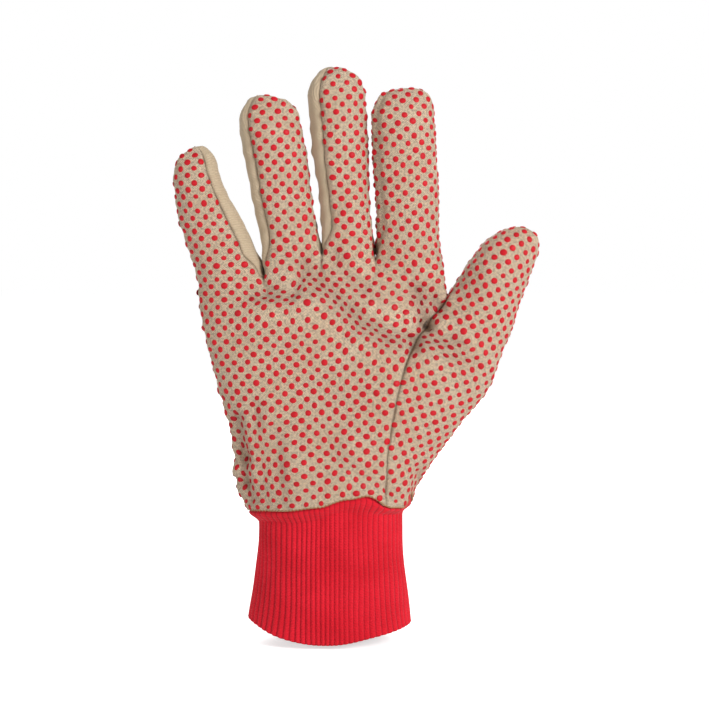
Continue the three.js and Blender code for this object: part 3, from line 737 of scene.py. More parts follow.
def easeEdges():  # the hem's own line and the rounded webs
    x, y, z = points[:, 0], points[:, 1], points[:, 2]
    shift = np.zeros(len(points))
    for place, rise, width in hemShifts:
        shift += rise * np.exp(-(((x - place) / width) ** 2))
    shift *= smooth(cuff["length"] + 26, cuff["length"] + 2, z) * smooth(8, -8, y)
    for j, drop in crotchDrops.items():
        middle = middleDepth(j, 1)
        near = np.exp(-(((x - crotches[j][0]) / 7) ** 2)) * np.exp(-(((z - crotches[j][1]) / 8) ** 2))
        shift -= drop * near * smooth(middle, middle - webs[j], y)
    points[:, 2] += shift


def poleAway(places):  # distance to the nearest fingertip's middle
    return np.min([np.linalg.norm(places - points[pole], axis=1) for rows, pole in fingerRows], axis=0)


springs = {"rounds": 500, "keep": 0.92, "same": 4}


def relaxFlats():  # eases the flat places of each panel until its cloth keeps its real lengths
    facing = smooth(0.1, -0.3, vertexNormals(points, faces)[:, 1])
    for number in range(5):
        chosen = np.nonzero(labels == number)[0]
        found, owners, places, corners = {}, [], [], []
        for i in chosen:
            ring = []
            for v, spot in zip(faces[i], flats[i]):
                same = [n for n in found.get(v, []) if np.abs(places[n] - spot).sum() < springs["same"]]
                if not same:
                    same = [len(owners)]
                    owners.append(v)
                    places.append(np.array(spot))
                    found.setdefault(v, []).append(same[0])
                ring.append(same[0])
            corners.append(ring)
        ties = set()
        for ring in corners:
            pairs = list(zip(ring, ring[1:] + ring[:1]))
            if len(ring) == 4:
                pairs += [(ring[0], ring[2]), (ring[1], ring[3])]
            ties |= {(min(pair), max(pair)) for pair in pairs}
        ties = np.array(sorted(ties))
        a, b = ties[:, 0], ties[:, 1]
        owners, flat = np.array(owners), np.array(places)
        rest = np.linalg.norm(points[owners[a]] - points[owners[b]], axis=1)
        share = 0.5 / np.bincount(ties.ravel(), minlength=len(flat))
        speed = np.zeros_like(flat)
        for _ in range(springs["rounds"]):
            way = flat[b] - flat[a]
            length = np.maximum(np.linalg.norm(way, axis=1), 1e-6)
            pull = way * ((length - rest) / length)[:, None]
            for axis in (0, 1):
                total = np.bincount(a, pull[:, axis], len(flat)) - np.bincount(b, pull[:, axis], len(flat))
                speed[:, axis] = springs["keep"] * speed[:, axis] + total * share
            flat += speed
        if number < 2:
            flat += (takeUp(points[owners], flat) - flat) * facing[owners][:, None]
        for i, ring in zip(chosen, corners):
            flats[i] = [flat[n] for n in ring]


def treeOf(places):
    tree = kdtree.KDTree(len(places))
    for i, place in enumerate(places):
        tree.insert(place, i)
    tree.balance()
    return tree


def shapeCloth():  # the shell's points with folds, puckers and seams, and how hollow the cloth is there, for the painted shade in its creases and puckers
    normals = vertexNormals(points, faces)
    move = roughField(points, cloth["broadSize"], 11) * cloth["broad"]
    move += roughField(points, cloth["fineSize"], 12) * cloth["fine"]
    x, z = points[:, 0], points[:, 2]
    facing = {"front": smooth(0.1, -0.35, normals[:, 1]), "back": smooth(-0.1, 0.35, normals[:, 1])}
    # painted shade: how much each crease and pucker darkens the cloth and its dots
    hollow = np.zeros(len(points))
    for side, depth, width, taken, line in creases:
        far = nearLine(x, z, line)[0]
        away = far / width
        move -= depth * (np.exp(-away * away) - cloth["creaseLip"] * np.exp(-((away - 2) ** 2))) * facing[side]
        away = far / (width * 1.3)
        hollow = np.maximum(hollow, depth / cloth["creaseShade"] * np.exp(-away * away) * facing[side])
    for side, depth, radius, px, pz in puckers:
        far = np.hypot(x - px, z - pz)
        away = far / radius
        move -= depth * (np.exp(-away * away) - cloth["puckerLip"] * np.exp(-((away - 2) ** 2))) * facing[side]
        away = far / (radius * 1.7)
        hollow = np.maximum(hollow, depth / cloth["puckerShade"] * np.exp(-away * away) * facing[side])
    low, high, least = cloth["lowShade"]
    hollow *= mix(least, 1, smooth(low, high, z))
    samples, places = [], []
    for number, chain in enumerate(seamLines()):
        run = points[chain]
        runs = reach(run)
        wanted = np.arange(0, runs[-1], seams["sample"])
        samples.append(placeAt(run, runs, wanted))
        places.append(wanted + seams["apart"] * number)
    samples, places = np.concatenate(samples), np.concatenate(places)
    tree = treeOf(samples)
    found = [tree.find(p) for p in points]
    away = np.array([f[2] for f in found])
    along = places[[f[1] for f in found]]
    px, pz, radius, left = seams["softAt"]
    soft = 1 - (1 - left) * np.exp(-((np.hypot(x - px, z - pz) / radius) ** 2)) * (normals[:, 1] < 0.3)
    move -= seams["depth"] * soft * np.exp(-((away / seams["width"]) ** 2))
    move += seams["lip"] * np.exp(-(((away - seams["lipAway"]) / seams["lipWidth"]) ** 2))
    wave = np.sin(2 * math.pi * along / seams["pitch"] + seams["sway"] * np.sin(along / seams["swayPitch"]))
    wave = wave + 0.5 * np.sin(2 * math.pi * along / seams["secondPitch"])
    close = np.exp(-((away / seams["flat"]) ** 2))
    move += seams["pucker"] * wave * np.exp(-away / seams["fade"]) * (1 - close)
    hem = smooth(0, 4, z - cuff["length"] + 1)
    move *= mix(seams["atHem"], 1, hem) * smooth(1.2, 5.0, poleAway(points))
    return points + normals * move[:, None], np.clip(hollow, 0, 1)


print("shell: cloth lengths, folds, seams and puckers")
easeKnuckles()
easeEdges()
relaxFlats()
points, paintedShades = shapeCloth()


def shadeSmooth(mesh):
    for polygon in mesh.polygons:
        polygon.use_smooth = True


def newObject(name, vertices, polygons):  # vertices in mm
    mesh = bpy.data.meshes.new(name)
    mesh.from_pydata([tuple(v) for v in np.asarray(vertices) * 0.001], [], polygons)
    mesh.update()
    shadeSmooth(mesh)
    piece = bpy.data.objects.new(name, mesh)
    bpy.context.scene.collection.objects.link(piece)
    return piece


def setPaintedShade(mesh, values):
    mesh.attributes.new("hollow", "FLOAT", "POINT").data.foreach_set("value", np.array(values, np.float32))


def useOnly(piece):
    bpy.ops.object.select_all(action="DESELECT")
    piece.select_set(True)
    bpy.context.view_layer.objects.active = piece


panelNames = ["palmPanel", "thumbPanel", "backMiddlePanel", "backRingPanel", "backLittlePanel"]
panelNodes = ["palm_panel", "thumb_panel", "back_middle_panel", "back_ring_panel", "back_little_panel"]


def buildPanels():
    pieces = []
    for number, name in enumerate(panelNames):
        chosen = np.nonzero(labels == number)[0]
        used = sorted({v for i in chosen for v in faces[i]})
        order = {v: i for i, v in enumerate(used)}
        piece = newObject(name, points[used], [[order[v] for v in faces[i]] for i in chosen])
        mesh = piece.data
        layer = mesh.uv_layers.new(name="cloth")
        flat = np.concatenate([np.array(flats[i]) for i in chosen]) / 100  # decimetres
        layer.data.foreach_set("uv", flat.astype(np.float32).ravel())
        setPaintedShade(mesh, paintedShades[used])
        size = (flat.max(axis=0) - flat.min(axis=0)) / 10
        area = sum(polygon.area for polygon in mesh.polygons)
        piece["flatWidth"], piece["flatLength"] = float(size[0]), float(size[1])
        piece["flatArea"] = float(min(area, 0.99 * size[0] * size[1]))
        print(name, "flat", [round(float(v) * 1000) for v in size], "mm, cloth", round(area * 1e4), "cm2")
        pieces.append(piece)
    return pieces


print("panels: cutting and laying flat")
panels = buildPanels()

dots = {
    "radius": 1.39, "height": 0.48, "pitch": 4.5, "jitter": 0.08, "sink": 0.08, "edge": 0.7, "apart": 2.1,
    "bare": 3.65, "sides": 12, "rings": 6, "squeeze": 0.55, "stretch": 1.15,
    "dome": 2.6, "cut": -0.02, "foot": -0.25,
}


def dotShape():  # one soft dot: a low dome
    bpy.ops.mesh.primitive_uv_sphere_add(segments=dots["sides"], ring_count=dots["rings"], radius=1)
    dome = bpy.context.object
    bpy.ops.object.mode_set(mode="EDIT")
    bpy.ops.mesh.select_all(action="SELECT")
    bpy.ops.mesh.bisect(plane_co=(0, 0, dots["cut"]), plane_no=(0, 0, 1), clear_inner=True)
    bpy.ops.object.mode_set(mode="OBJECT")
    shape = np.array([tuple(v.co) for v in dome.data.vertices])
    order = np.lexsort(np.round(shape, 4).T)  # the cut leaves them in any order
    rank = np.argsort(order)
    rings = [[int(rank[v]) for v in p.vertices] for p in dome.data.polygons]
    polygons = sorted(ring[ring.index(min(ring)):] + ring[:ring.index(min(ring))] for ring in rings)
    shape = shape[order]
    bpy.data.objects.remove(dome, do_unlink=True)
    broad = np.hypot(shape[:, 0], shape[:, 1])
    shape[:, 2] = np.where(shape[:, 2] < 0, dots["foot"], np.sqrt(np.maximum(0, 1 - broad ** dots["dome"])))
    return shape, polygons


def bareSpots(mesh, places, centres):  # vertices where the lattice left the cloth bare, away from its edges
    uses = {}
    for polygon in mesh.polygons:
        for key in polygon.edge_keys:
            uses[key] = uses.get(key, 0) + 1
    border = sorted({v for key, count in uses.items() if count == 1 for v in key})
    away = []
    for tree in (treeOf(centres), treeOf(places[border])):
        away.append(np.array([tree.find(place)[2] for place in places]))
    room = np.where(away[1] > dots["edge"] + 1.2, away[0], 0)
    found = []
    while room.max() > dots["bare"]:
        found.append(int(room.argmax()))
        room = np.minimum(room, np.linalg.norm(places - places[found[-1]], axis=1))
    return found


def pressDot(shape, where, side, other, normal, size, stretch=1):
    return (
        where + np.outer(shape[:, 0] * size * stretch, side) + np.outer(shape[:, 1] * size / stretch, other)
        + np.outer(shape[:, 2] * dots["height"] * size / dots["radius"] - dots["sink"], normal)
    )


def setDots(piece, name, angle, seed):
    mesh = piece.data
    mesh.calc_loop_triangles()
    layer = mesh.uv_layers["cloth"].data
    flat = np.empty(len(layer) * 2)
    layer.foreach_get("uv", flat)
    flat = flat.reshape(-1, 2) * 100  # mm
    triangles = np.array([t.loops[:] for t in mesh.loop_triangles])
    corners = np.array([t.vertices[:] for t in mesh.loop_triangles])
    places = np.array([tuple(v.co) for v in mesh.vertices]) * 1000
    normals = np.array([tuple(v.normal) for v in mesh.vertices])
    # painted shade of the cloth under each dot, from its creases and puckers
    depths = np.array([v.value for v in mesh.attributes["hollow"].data])
    spread = np.concatenate([flat[triangles[:, i]] for i in range(3)])
    count = len(triangles)
    tree = BVHTree.FromPolygons(
        [(u, v, 0) for u, v in spread], [(i, i + count, i + 2 * count) for i in range(count)],
    )
    edgeTree = openEdgeTree(mesh, flat)
    shape, polygons = dotShape()
    draw = np.random.default_rng(seed)
    low, high = flat.min(axis=0), flat.max(axis=0)
    reachOut = int(np.linalg.norm(high - low) / dots["pitch"]) + 2
    centre = (low + high) / 2
    across = np.array([math.cos(angle), math.sin(angle)]) * dots["pitch"]
    upward = np.array([-math.sin(angle), math.cos(angle)]) * dots["pitch"]
    made, centres, shades = [], [], []
    for i in range(-reachOut, reachOut + 1):
        for j in range(-reachOut, reachOut + 1):
            spot = centre + across * i + upward * j
            if (spot < low).any() or (spot > high).any():
                continue
            spot = spot + draw.normal(size=2) * 0.1
            size = dots["radius"] * (1 + np.clip(draw.normal(), -2, 2) * dots["jitter"])
            stretch = 1 + draw.uniform(-0.08, 0.08)
            found = tree.find_nearest((spot[0], spot[1], 0))
            if found[0] is None or found[3] > 1e-3:
                continue
            if edgeTree.find((spot[0], spot[1], 0))[2] < dots["edge"]:
                continue
            t = found[2]
            a, b, c = (flat[triangles[t][n]] for n in range(3))
            share = np.linalg.solve(np.array([b - a, c - a]).T, spot - a)
            weights = np.array([1 - share.sum(), share[0], share[1]])
            where = weights @ places[corners[t]]
            normal = weights @ normals[corners[t]]
            normal /= np.linalg.norm(normal)
            pa, pb, pc = (places[corners[t][n]] for n in range(3))
            drawn = np.array([pb - pa, pc - pa]).T @ np.linalg.inv(np.array([b - a, c - a]).T)
            ways, amounts, turned = np.linalg.svd(drawn, full_matrices=False)
            amounts = np.clip(amounts, dots["squeeze"], dots["stretch"])
            side, other = (ways @ np.diag(amounts) @ turned).T
            if len(centres) and np.linalg.norm(np.array(centres) - where, axis=1).min() < dots["apart"]:
                continue
            centres.append(where)
            shades.append(weights @ depths[corners[t]])
            made.append(pressDot(shape, where, side, other, normal, size, stretch))
    for v in bareSpots(mesh, places, np.array(centres)):
        size = dots["radius"] * (1 + np.clip(draw.normal(), -2, 2) * dots["jitter"])
        side = np.cross(normals[v], (0.3, 0.2, 0.93))
        side /= np.linalg.norm(side)
        shades.append(depths[v])
        made.append(pressDot(shape, places[v], side, np.cross(normals[v], side), normals[v], size))
    dotFaces = [[v + n * len(shape) for v in face] for n in range(len(made)) for face in polygons]
    grip = newObject(name, np.concatenate(made), dotFaces)
    setPaintedShade(grip.data, np.repeat(shades, len(shape)))
    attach(grip, "root")
    print(name, len(made), "dots")
    return grip


def openEdgeTree(mesh, flat):  # places along the cut edges of the flat cloth
    uses = {}
    for polygon in mesh.polygons:
        loops = list(polygon.loop_indices)
        for a, b in zip(loops, loops[1:] + loops[:1]):
            key = frozenset((mesh.loops[a].vertex_index, mesh.loops[b].vertex_index))
            uses.setdefault(key, []).append((a, b))
    marks = []
    for pairs in uses.values():
        joined = len(pairs) == 2 and np.abs(flat[pairs[0][0]] - flat[pairs[1][1]]).max() < 0.01
        if not joined:
            marks += [flat[a] for a, b in pairs] + [(flat[a] + flat[b]) / 2 for a, b in pairs]
    return treeOf([(mark[0], mark[1], 0) for mark in marks])


print("dots: printing the grip")
palmDots = setDots(panels[0], "palmDots", math.radians(50), 21)
thumbDots = setDots(panels[1], "thumbDots", math.radians(24), 22)


def finishPanels():
    for piece, node in zip(panels, panelNodes):
        drawBack(piece)
        useOnly(piece)
        wall = piece.modifiers.new("wall", "SOLIDIFY")
        wall.thickness = hand["wall"] / 1000
        wall.offset = -1
        wall.use_rim = True
        wall.use_even_offset = False
        group = piece.vertex_groups.new(name="wall")
        places = np.array([tuple(v.co) for v in piece.data.vertices]) * 1000
        for i, weight in enumerate(smooth(0, hand["tipWallReach"], poleAway(places))):
            group.add([i], float(weight), "REPLACE")
        wall.vertex_group = "wall"
        wall.thickness_vertex_group = hand["tipWall"]
        bpy.ops.object.modifier_apply(modifier=wall.name)
        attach(piece, "root")
        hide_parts(node)


def drawBack(piece):  # the cut edges back from the seam's line, so that neighbours stay clear
    mesh = piece.data
    uses = {}
    for polygon in mesh.polygons:
        loop = list(polygon.vertices)
        for a, b in zip(loop, loop[1:] + loop[:1]):
            uses.setdefault(frozenset((a, b)), []).append((a, b, polygon.normal.copy()))
    moves = {}
    for found in uses.values():
        if len(found) == 1:
            a, b, normal = found[0]
            run = mesh.vertices[b].co - mesh.vertices[a].co
            inward = normal.cross(run).normalized()
            for v in (a, b):
                moves[v] = moves.get(v, Vector()) + inward
    for v, move in moves.items():
        if mesh.vertices[v].co.z * 1000 > cuff["length"] + hand["hemWave"] + 1.5:
            mesh.vertices[v].co += move.normalized() * seams["gap"] / 1000


finishPanels()


def wristLoop(row):  # the shell's points round the wrist, in a row of the palm and back
    around = palmRows["front"][row] + palmRows["back"][row][::-1][1:-1]
    return np.array([points[i] for i in around])


def rowReach(row, angles):  # how far out and how high a row of the shell is, by angle round the wrist
    loop = wristLoop(row)
    turn = np.arctan2(loop[:, 1], loop[:, 0])
    order = np.argsort(turn)
    turn, loop = turn[order], loop[order]
    turn = np.concatenate([turn - 2 * math.pi, turn, turn + 2 * math.pi])
    angles = (angles + math.pi) % (2 * math.pi) - math.pi
    return [np.interp(angles, turn, np.tile(v, 3)) for v in (np.hypot(loop[:, 0], loop[:, 1]), loop[:, 2])]


def buildCuff():
    columns = cuff["ribs"] * cuff["ribColumns"]
    angles = np.arange(columns) * 2 * math.pi / columns
    phase = np.arange(columns) / cuff["ribColumns"] * 2 * math.pi
    low, hemZ = rowReach(0, angles)
    high = rowReach(4, angles)[0]
    oval = 1 / np.hypot(np.cos(angles) / (cuff["width"] / 2), np.sin(angles) / (cuff["depth"] / 2))
    rim = cuff["rimLift"] + cuff["rimSaddle"] * np.cos(angles) ** 2 + cuff["rimTilt"] * np.cos(angles)
    rim += np.where(np.cos(angles) < 0, cuff["rimLeft"] * np.cos(angles) ** 6, cuff["rimRight"] * np.cos(angles) ** 4)
    reachAside = columns // cuff["hemCalm"]
    calmZ = sum(np.roll(hemZ, n) for n in range(-reachAside, reachAside + 1)) / (2 * reachAside + 1)
    narrow = calmZ - cuff["flareHeight"]
    spread = cuff["rimSpread"] * np.cos(angles) ** 2
    profile = np.abs(np.cos(phase / 2)) ** cuff["ribRound"] - cuff["ribMiddle"]  # rounded ribs, narrow furrows
    inside = hand["wall"] + cuff["clearance"]
    rings = []
    for s in range(cuff["rows"] + 1):
        up = s / cuff["rows"]
        z = mix(rim, narrow, up)
        body = oval + spread * (1 - up) ** 2
        around = np.stack([np.cos(angles) * cuff["softRound"], np.sin(angles) * cuff["softRound"], z], axis=1)
        soft = roughField(around, cuff["softSize"], 31) * cuff["soft"]
        close = 1 - cuff["ribClose"] * smooth(0.85, 1, up)
        rings.append((body + profile * cuff["ribDepth"] * close + soft, z))
    for s in range(1, cuff["flareRows"] + 1):
        up = s / cuff["flareRows"]
        wide = low - cuff["flush"] + profile * cuff["hemRib"]
        out = mix(oval + profile * cuff["ribDepth"] * cuff["flareRib"], wide, smooth(0, 0.72, up))
        rings.append((mix(out, low - inside, smooth(0.76, 1, up)), mix(narrow, hemZ, up)))
    rings.append((mix(low, high, 0.5) - inside - 0.3, hemZ + 2.5))
    rings.append((high - inside - 0.6, hemZ + cuff["tuck"]))
    # the lower edge is turned in, round
    first, z0 = rings[0]
    edge = []
    for s in range(3, 0, -1):
        a = math.pi / 2 * s / 3
        half = cuff["wall"] / 2
        edge.append((first - half * (1 - math.cos(a)), z0 - half * math.sin(a) + cuff["rimTurn"]))
    rings = edge + [(first, z0 + cuff["rimTurn"])] + rings[1:]
    vertices, polygons = [], []
    for out, z in rings:
        vertices += list(np.stack([out * np.cos(angles), out * np.sin(angles), z + np.zeros(columns)], axis=1))
    for out, z in reversed(rings):
        inner = out - cuff["wall"]
        vertices += list(np.stack([inner * np.cos(angles), inner * np.sin(angles), z + np.zeros(columns)], axis=1))
    count = 2 * len(rings)
    for r in range(count):
        here, following = r * columns, (r + 1) % count * columns
        for c in range(columns):
            d = (c + 1) % columns
            polygons.append([here + c, here + d, following + d, following + c])
    piece = newObject("knitCuff", vertices, polygons)
    flat = piece.data.uv_layers.new(name="cloth")
    heights = np.array([v.co.z for v in piece.data.vertices])
    for polygon in piece.data.polygons:
        for corner, loop in zip(polygon.vertices, polygon.loop_indices):
            c = corner % columns
            u = c / columns
            if u == 0 and any(v % columns > columns / 2 for v in polygon.vertices):
                u = 1
            flat.data[loop].uv = (u * 1.8, heights[corner] * 10)
    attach(piece, "root")
    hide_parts("knit_cuff")
    return piece


print("cuff: knitting the ribs")
knitCuff = buildCuff()

thread = {"radius": 0.24, "pitch": 1.7, "below": 0.12, "inset": 0.1, "swing": 0.16, "lift": 0.22, "oval": (33, 26)}


def buildHemThread():  # overlock thread that closes the edge of the shell on the knit
    loop = wristLoop(0)
    loop = np.concatenate([loop, loop[:1]])
    runs = reach(loop)
    count = int(runs[-1] / thread["pitch"])
    wanted = np.linspace(0, runs[-1], count * 8 + 1)[:-1]
    along = placeAt(loop, runs, wanted)
    outward = along / np.array([*thread["oval"], np.inf]) ** 2  # out from the wrist's oval
    outward /= np.linalg.norm(outward, axis=1, keepdims=True)
    phase = np.arange(len(wanted)) / 8 * 2 * math.pi
    path = along + outward * (thread["swing"] * np.cos(phase) - thread["inset"])[:, None]
    path[:, 2] += thread["lift"] * np.sin(phase) - thread["below"]
    curve = bpy.data.curves.new("hemThread", "CURVE")
    curve.dimensions = "3D"
    spline = curve.splines.new("POLY")
    spline.points.add(len(path) - 1)
    for point, place in zip(spline.points, path / 1000):
        point.co = (*place, 1)
    spline.use_cyclic_u = True
    curve.bevel_depth = thread["radius"] / 1000
    curve.bevel_resolution = 1
    piece = bpy.data.objects.new("hemThread", curve)
    bpy.context.scene.collection.objects.link(piece)
    useOnly(piece)
    bpy.ops.object.convert(target="MESH")
    piece = bpy.context.object
    shadeSmooth(piece.data)
    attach(piece, "root")
    return piece


print("hem: overlock thread")
hemThread = buildHemThread()


def nodeGroup(name, inputs, outputs):  # inputs with their first values, None for a vector
    group = bpy.data.node_groups.new(name, "ShaderNodeTree")
    for label, value in inputs.items():
        kind = "Vector" if value is None else "Color" if isinstance(value, tuple) else "Float"
        made = group.interface.new_socket(name=label, in_out="INPUT", socket_type="NodeSocket" + kind)
        if value is not None:
            made.default_value = value
    for label, kind in outputs.items():
        group.interface.new_socket(name=label, in_out="OUTPUT", socket_type="NodeSocket" + kind)
    return group, group.nodes.new("NodeGroupInput").outputs, group.nodes.new("NodeGroupOutput").inputs


class Wires:  # the nodes of one tree, and what is often done with them
    def __init__(self, tree):
        self.tree = tree

    def node(self, kind, **values):
        made = self.tree.nodes.new(kind)
        for key, value in values.items():
            setattr(made, key, value)
        return made

    def put(self, socket, value):
        if hasattr(value, "is_output"):
            self.tree.links.new(value, socket)
        elif value is not None:
            socket.default_value = value

    def maths(self, operation, a, b=None):
        made = self.node("ShaderNodeMath", operation=operation)
        self.put(made.inputs[0], a)
        self.put(made.inputs[1], b)
        return made.outputs[0]

    def times(self, a, b):
        return self.maths("MULTIPLY", a, b)

    def plus(self, a, b):
        return self.maths("ADD", a, b)

    def mixColour(self, share, a, b):
        made = self.node("ShaderNodeMix", data_type="RGBA")
        self.put(made.inputs[0], share)
        self.put(made.inputs[6], a)
        self.put(made.inputs[7], b)
        return made.outputs[2]

    def noise(self, vector, scale, detail=2.0, rough=0.5):
        made = self.node("ShaderNodeTexNoise")
        self.put(made.inputs["Vector"], vector)
        made.inputs["Scale"].default_value = scale
        made.inputs["Detail"].default_value = detail
        made.inputs["Roughness"].default_value = rough
        return made.outputs["Fac"]

    def ramp(self, value, low, high):
        made = self.node("ShaderNodeMapRange")
        made.clamp = True
        self.put(made.inputs["Value"], value)
        self.put(made.inputs["From Min"], low)
        self.put(made.inputs["From Max"], high)
        return made.outputs[0]

    def relief(self, shader, strength, distance, height):
        bump = self.node("ShaderNodeBump")
        bump.inputs["Strength"].default_value = strength
        bump.inputs["Distance"].default_value = distance
        self.put(bump.inputs["Height"], height)
        self.put(shader.inputs["Normal"], bump.outputs[0])

    def hollowShade(self, share, colour, deep):  # painted shade: darker where the cloth is hollow, in its creases and puckers
        hollow = self.node("ShaderNodeAttribute", attribute_name="hollow").outputs["Fac"]
        return self.mixColour(self.times(hollow, share), colour, deep)


def weaveGroup():  # threads of a cloth: height and a mask of the gaps, from a vector in mm
    group, into, out = nodeGroup(
        "clothWeave", {"Vector": None, "Warp Pitch": 0.5, "Weft Pitch": 0.5, "Twill": 0.0, "Slub": 0.3},
        {"Height": "Float", "Gap": "Float"},
    )
    w = Wires(group)
    wobble = w.noise(into["Vector"], 0.35, 3.0, 0.6)
    split = w.node("ShaderNodeSeparateXYZ")
    w.put(split.inputs[0], into["Vector"])
    shift = w.times(w.maths("SUBTRACT", wobble, 0.5), 0.9)
    u, v = w.plus(split.outputs[0], shift), w.plus(split.outputs[1], shift)
    warp = w.maths("SINE", w.maths("DIVIDE", w.times(u, 2 * math.pi), into["Warp Pitch"]))
    weft = w.maths("SINE", w.maths("DIVIDE", w.times(v, 2 * math.pi), into["Weft Pitch"]))
    slant = w.plus(w.maths("DIVIDE", u, into["Warp Pitch"]), w.maths("DIVIDE", v, into["Weft Pitch"]))
    pick = w.node("ShaderNodeMix", data_type="FLOAT")
    w.put(pick.inputs[0], into["Twill"])
    w.put(pick.inputs[2], w.times(warp, weft))
    w.put(pick.inputs[3], w.maths("SINE", w.times(slant, 2 * math.pi)))
    slubs = w.maths("SUBTRACT", w.noise(into["Vector"], 1.6, 4.0, 0.7), 0.5)
    height = w.plus(w.times(pick.outputs[0], 0.5), w.times(slubs, into["Slub"]))
    w.put(out["Height"], w.plus(height, 0.5))
    w.put(out["Gap"], w.ramp(height, -0.1, -0.55))
    return group


def cottonGroup():  # cloudy colour and small specks of raw cotton
    group, into, out = nodeGroup(
        "cottonColour",
        {"Vector": None, "Base": (0.6, 0.5, 0.35, 1), "Dark": (0.4, 0.3, 0.2, 1), "Light": (0.8, 0.7, 0.5, 1),
         "Clouds": 0.5, "Specks": 0.3, "Grain": 0.5},
        {"Color": "Color", "Mask": "Float"},
    )
    w = Wires(group)
    broad = w.noise(into["Vector"], 0.06, 3.0, 0.55)
    grain = w.noise(into["Vector"], 1.0, 3.0, 0.7)
    specks = w.ramp(w.noise(into["Vector"], 0.9, 2.0, 0.5), 0.66, 0.76)
    colour = w.mixColour(w.times(w.ramp(broad, 0.35, 0.65), into["Clouds"]), into["Base"], into["Light"])
    colour = w.mixColour(w.times(w.ramp(grain, 0.58, 0.36), into["Grain"]), colour, into["Dark"])
    colour = w.mixColour(w.times(specks, into["Specks"]), colour, into["Dark"])
    w.put(out["Color"], colour)
    w.put(out["Mask"], grain)
    return group


weaveTree = weaveGroup()
cottonTree = cottonGroup()


def newMaterial(name, roughness, sheen=0.0, sheenRough=0.5, specular=0.5):
    material = bpy.data.materials.new(name)
    material.use_nodes = True
    tree = material.node_tree
    shader = tree.nodes["Principled BSDF"]
    shader.inputs["Roughness"].default_value = roughness
    shader.inputs["Sheen Weight"].default_value = sheen
    shader.inputs["Sheen Roughness"].default_value = sheenRough
    shader.inputs["Specular IOR Level"].default_value = specular
    return material, Wires(tree), shader


def clothVector(w):  # flat cloth in mm from its own map
    uv = w.node("ShaderNodeUVMap", uv_map="cloth")
    scaled = w.node("ShaderNodeVectorMath", operation="SCALE")
    w.put(scaled.inputs[0], uv.outputs[0])
    scaled.inputs["Scale"].default_value = 100
    return scaled.outputs[0]


# Deep and shade: painted shade, the colour and share that darken the cloth in its creases and puckers
canvasLook = {
    "Base": (0.87, 0.67, 0.455, 1), "Dark": (0.32, 0.21, 0.13, 1), "Light": (0.95, 0.79, 0.58, 1),
    "Deep": (0.5, 0.28, 0.21, 1), "Clouds": 0.6, "Specks": 0.5, "Grain": 0.75,
    "Warp Pitch": 1.15, "Weft Pitch": 1.0, "Twill": 0.0, "Slub": 1.3,
    "gap": 0.8, "bump": 1.0, "relief": 0.0007, "shade": 0.35, "roughness": 0.9, "sheen": 0.15,
}
twillLook = {
    "Base": (0.5, 0.392, 0.262, 1), "Dark": (0.31, 0.222, 0.137, 1), "Light": (0.552, 0.442, 0.306, 1),
    "Deep": (0.3, 0.205, 0.13, 1), "Clouds": 0.6, "Specks": 0.15, "Grain": 0.2,
    "Warp Pitch": 1.6, "Weft Pitch": 1.6, "Twill": 1.0, "Slub": 0.4,
    "gap": 0.28, "bump": 0.7, "relief": 0.0003, "shade": 0.3, "roughness": 0.9, "sheen": 0.15,
}


def clothMaterial(name, look):
    material, w, shader = newMaterial(name, look["roughness"], look["sheen"], 0.6, 0.25)
    vector = clothVector(w)
    threads = w.node("ShaderNodeGroup", node_tree=weaveTree)
    tint = w.node("ShaderNodeGroup", node_tree=cottonTree)
    for group in (threads, tint):
        w.put(group.inputs["Vector"], vector)
        for socket in group.inputs:
            if socket.name in look:
                socket.default_value = look[socket.name]
    colour = w.mixColour(w.times(threads.outputs["Gap"], look["gap"]), tint.outputs["Color"], look["Dark"])
    # painted shade in the creases and puckers, from the hollow attribute
    w.put(shader.inputs["Base Color"], w.hollowShade(look["shade"], colour, look["Deep"]))
    w.put(shader.inputs["Roughness"], w.plus(w.times(tint.outputs["Mask"], 0.12), look["roughness"] - 0.06))
    w.relief(shader, look["bump"], look["relief"], threads.outputs["Height"])
    return material


# furrowShade: painted shade in the furrows between the ribs
knitLook = {
    "darker": (0.57, 0.0075, 0.018, 1), "lighter": (0.68, 0.012, 0.027, 1), "furrowShade": (0.3, 0.003, 0.012, 1),
    "fuzz": (0.8, 0.05, 0.08, 1), "roughness": 0.85, "sheen": 0.1, "bump": 0.6, "relief": 0.0004,
    "stitches": 5.2,
}


def knitMaterial(look):
    material, w, shader = newMaterial("redRibKnit", look["roughness"], look["sheen"], 0.5, 0.12)
    vector = clothVector(w)
    split = w.node("ShaderNodeSeparateXYZ")
    w.put(split.inputs[0], vector)
    phase = w.times(w.maths("DIVIDE", split.outputs[0], 180 / cuff["ribs"]), 2 * math.pi)
    rib = w.maths("ABSOLUTE", w.maths("COSINE", w.times(phase, 0.5)))
    furrowShade = w.ramp(rib, 0.5, 0.05)
    fuzz = w.noise(vector, 1.4, 4.0, 0.7)
    broad = w.noise(vector, 0.07, 2.0, 0.5)
    stitch = w.maths("SINE", w.plus(w.times(split.outputs[1], look["stitches"]), w.times(rib, 2.2)))
    colour = w.mixColour(w.ramp(broad, 0.3, 0.7), look["darker"], look["lighter"])
    # painted shade darkens the furrows between the ribs
    colour = w.mixColour(w.times(furrowShade, 0.75), colour, look["furrowShade"])
    colour = w.mixColour(w.times(w.ramp(fuzz, 0.55, 0.75), 0.35), colour, look["fuzz"])
    w.put(shader.inputs["Base Color"], colour)
    w.relief(shader, look["bump"], look["relief"], w.plus(w.times(stitch, 0.3), w.times(fuzz, 0.8)))
    return material


# deep and shade: painted shade, the dots darkened towards maroon where they sit in the cloth's creases and puckers
dotLook = {
    "darker": (0.45, 0.003, 0.01, 1), "lighter": (0.56, 0.0055, 0.015, 1), "deep": (0.16, 0.001, 0.006, 1),
    "shade": 0.85, "roughness": 0.38, "bump": 0.3, "relief": 0.0001,
}


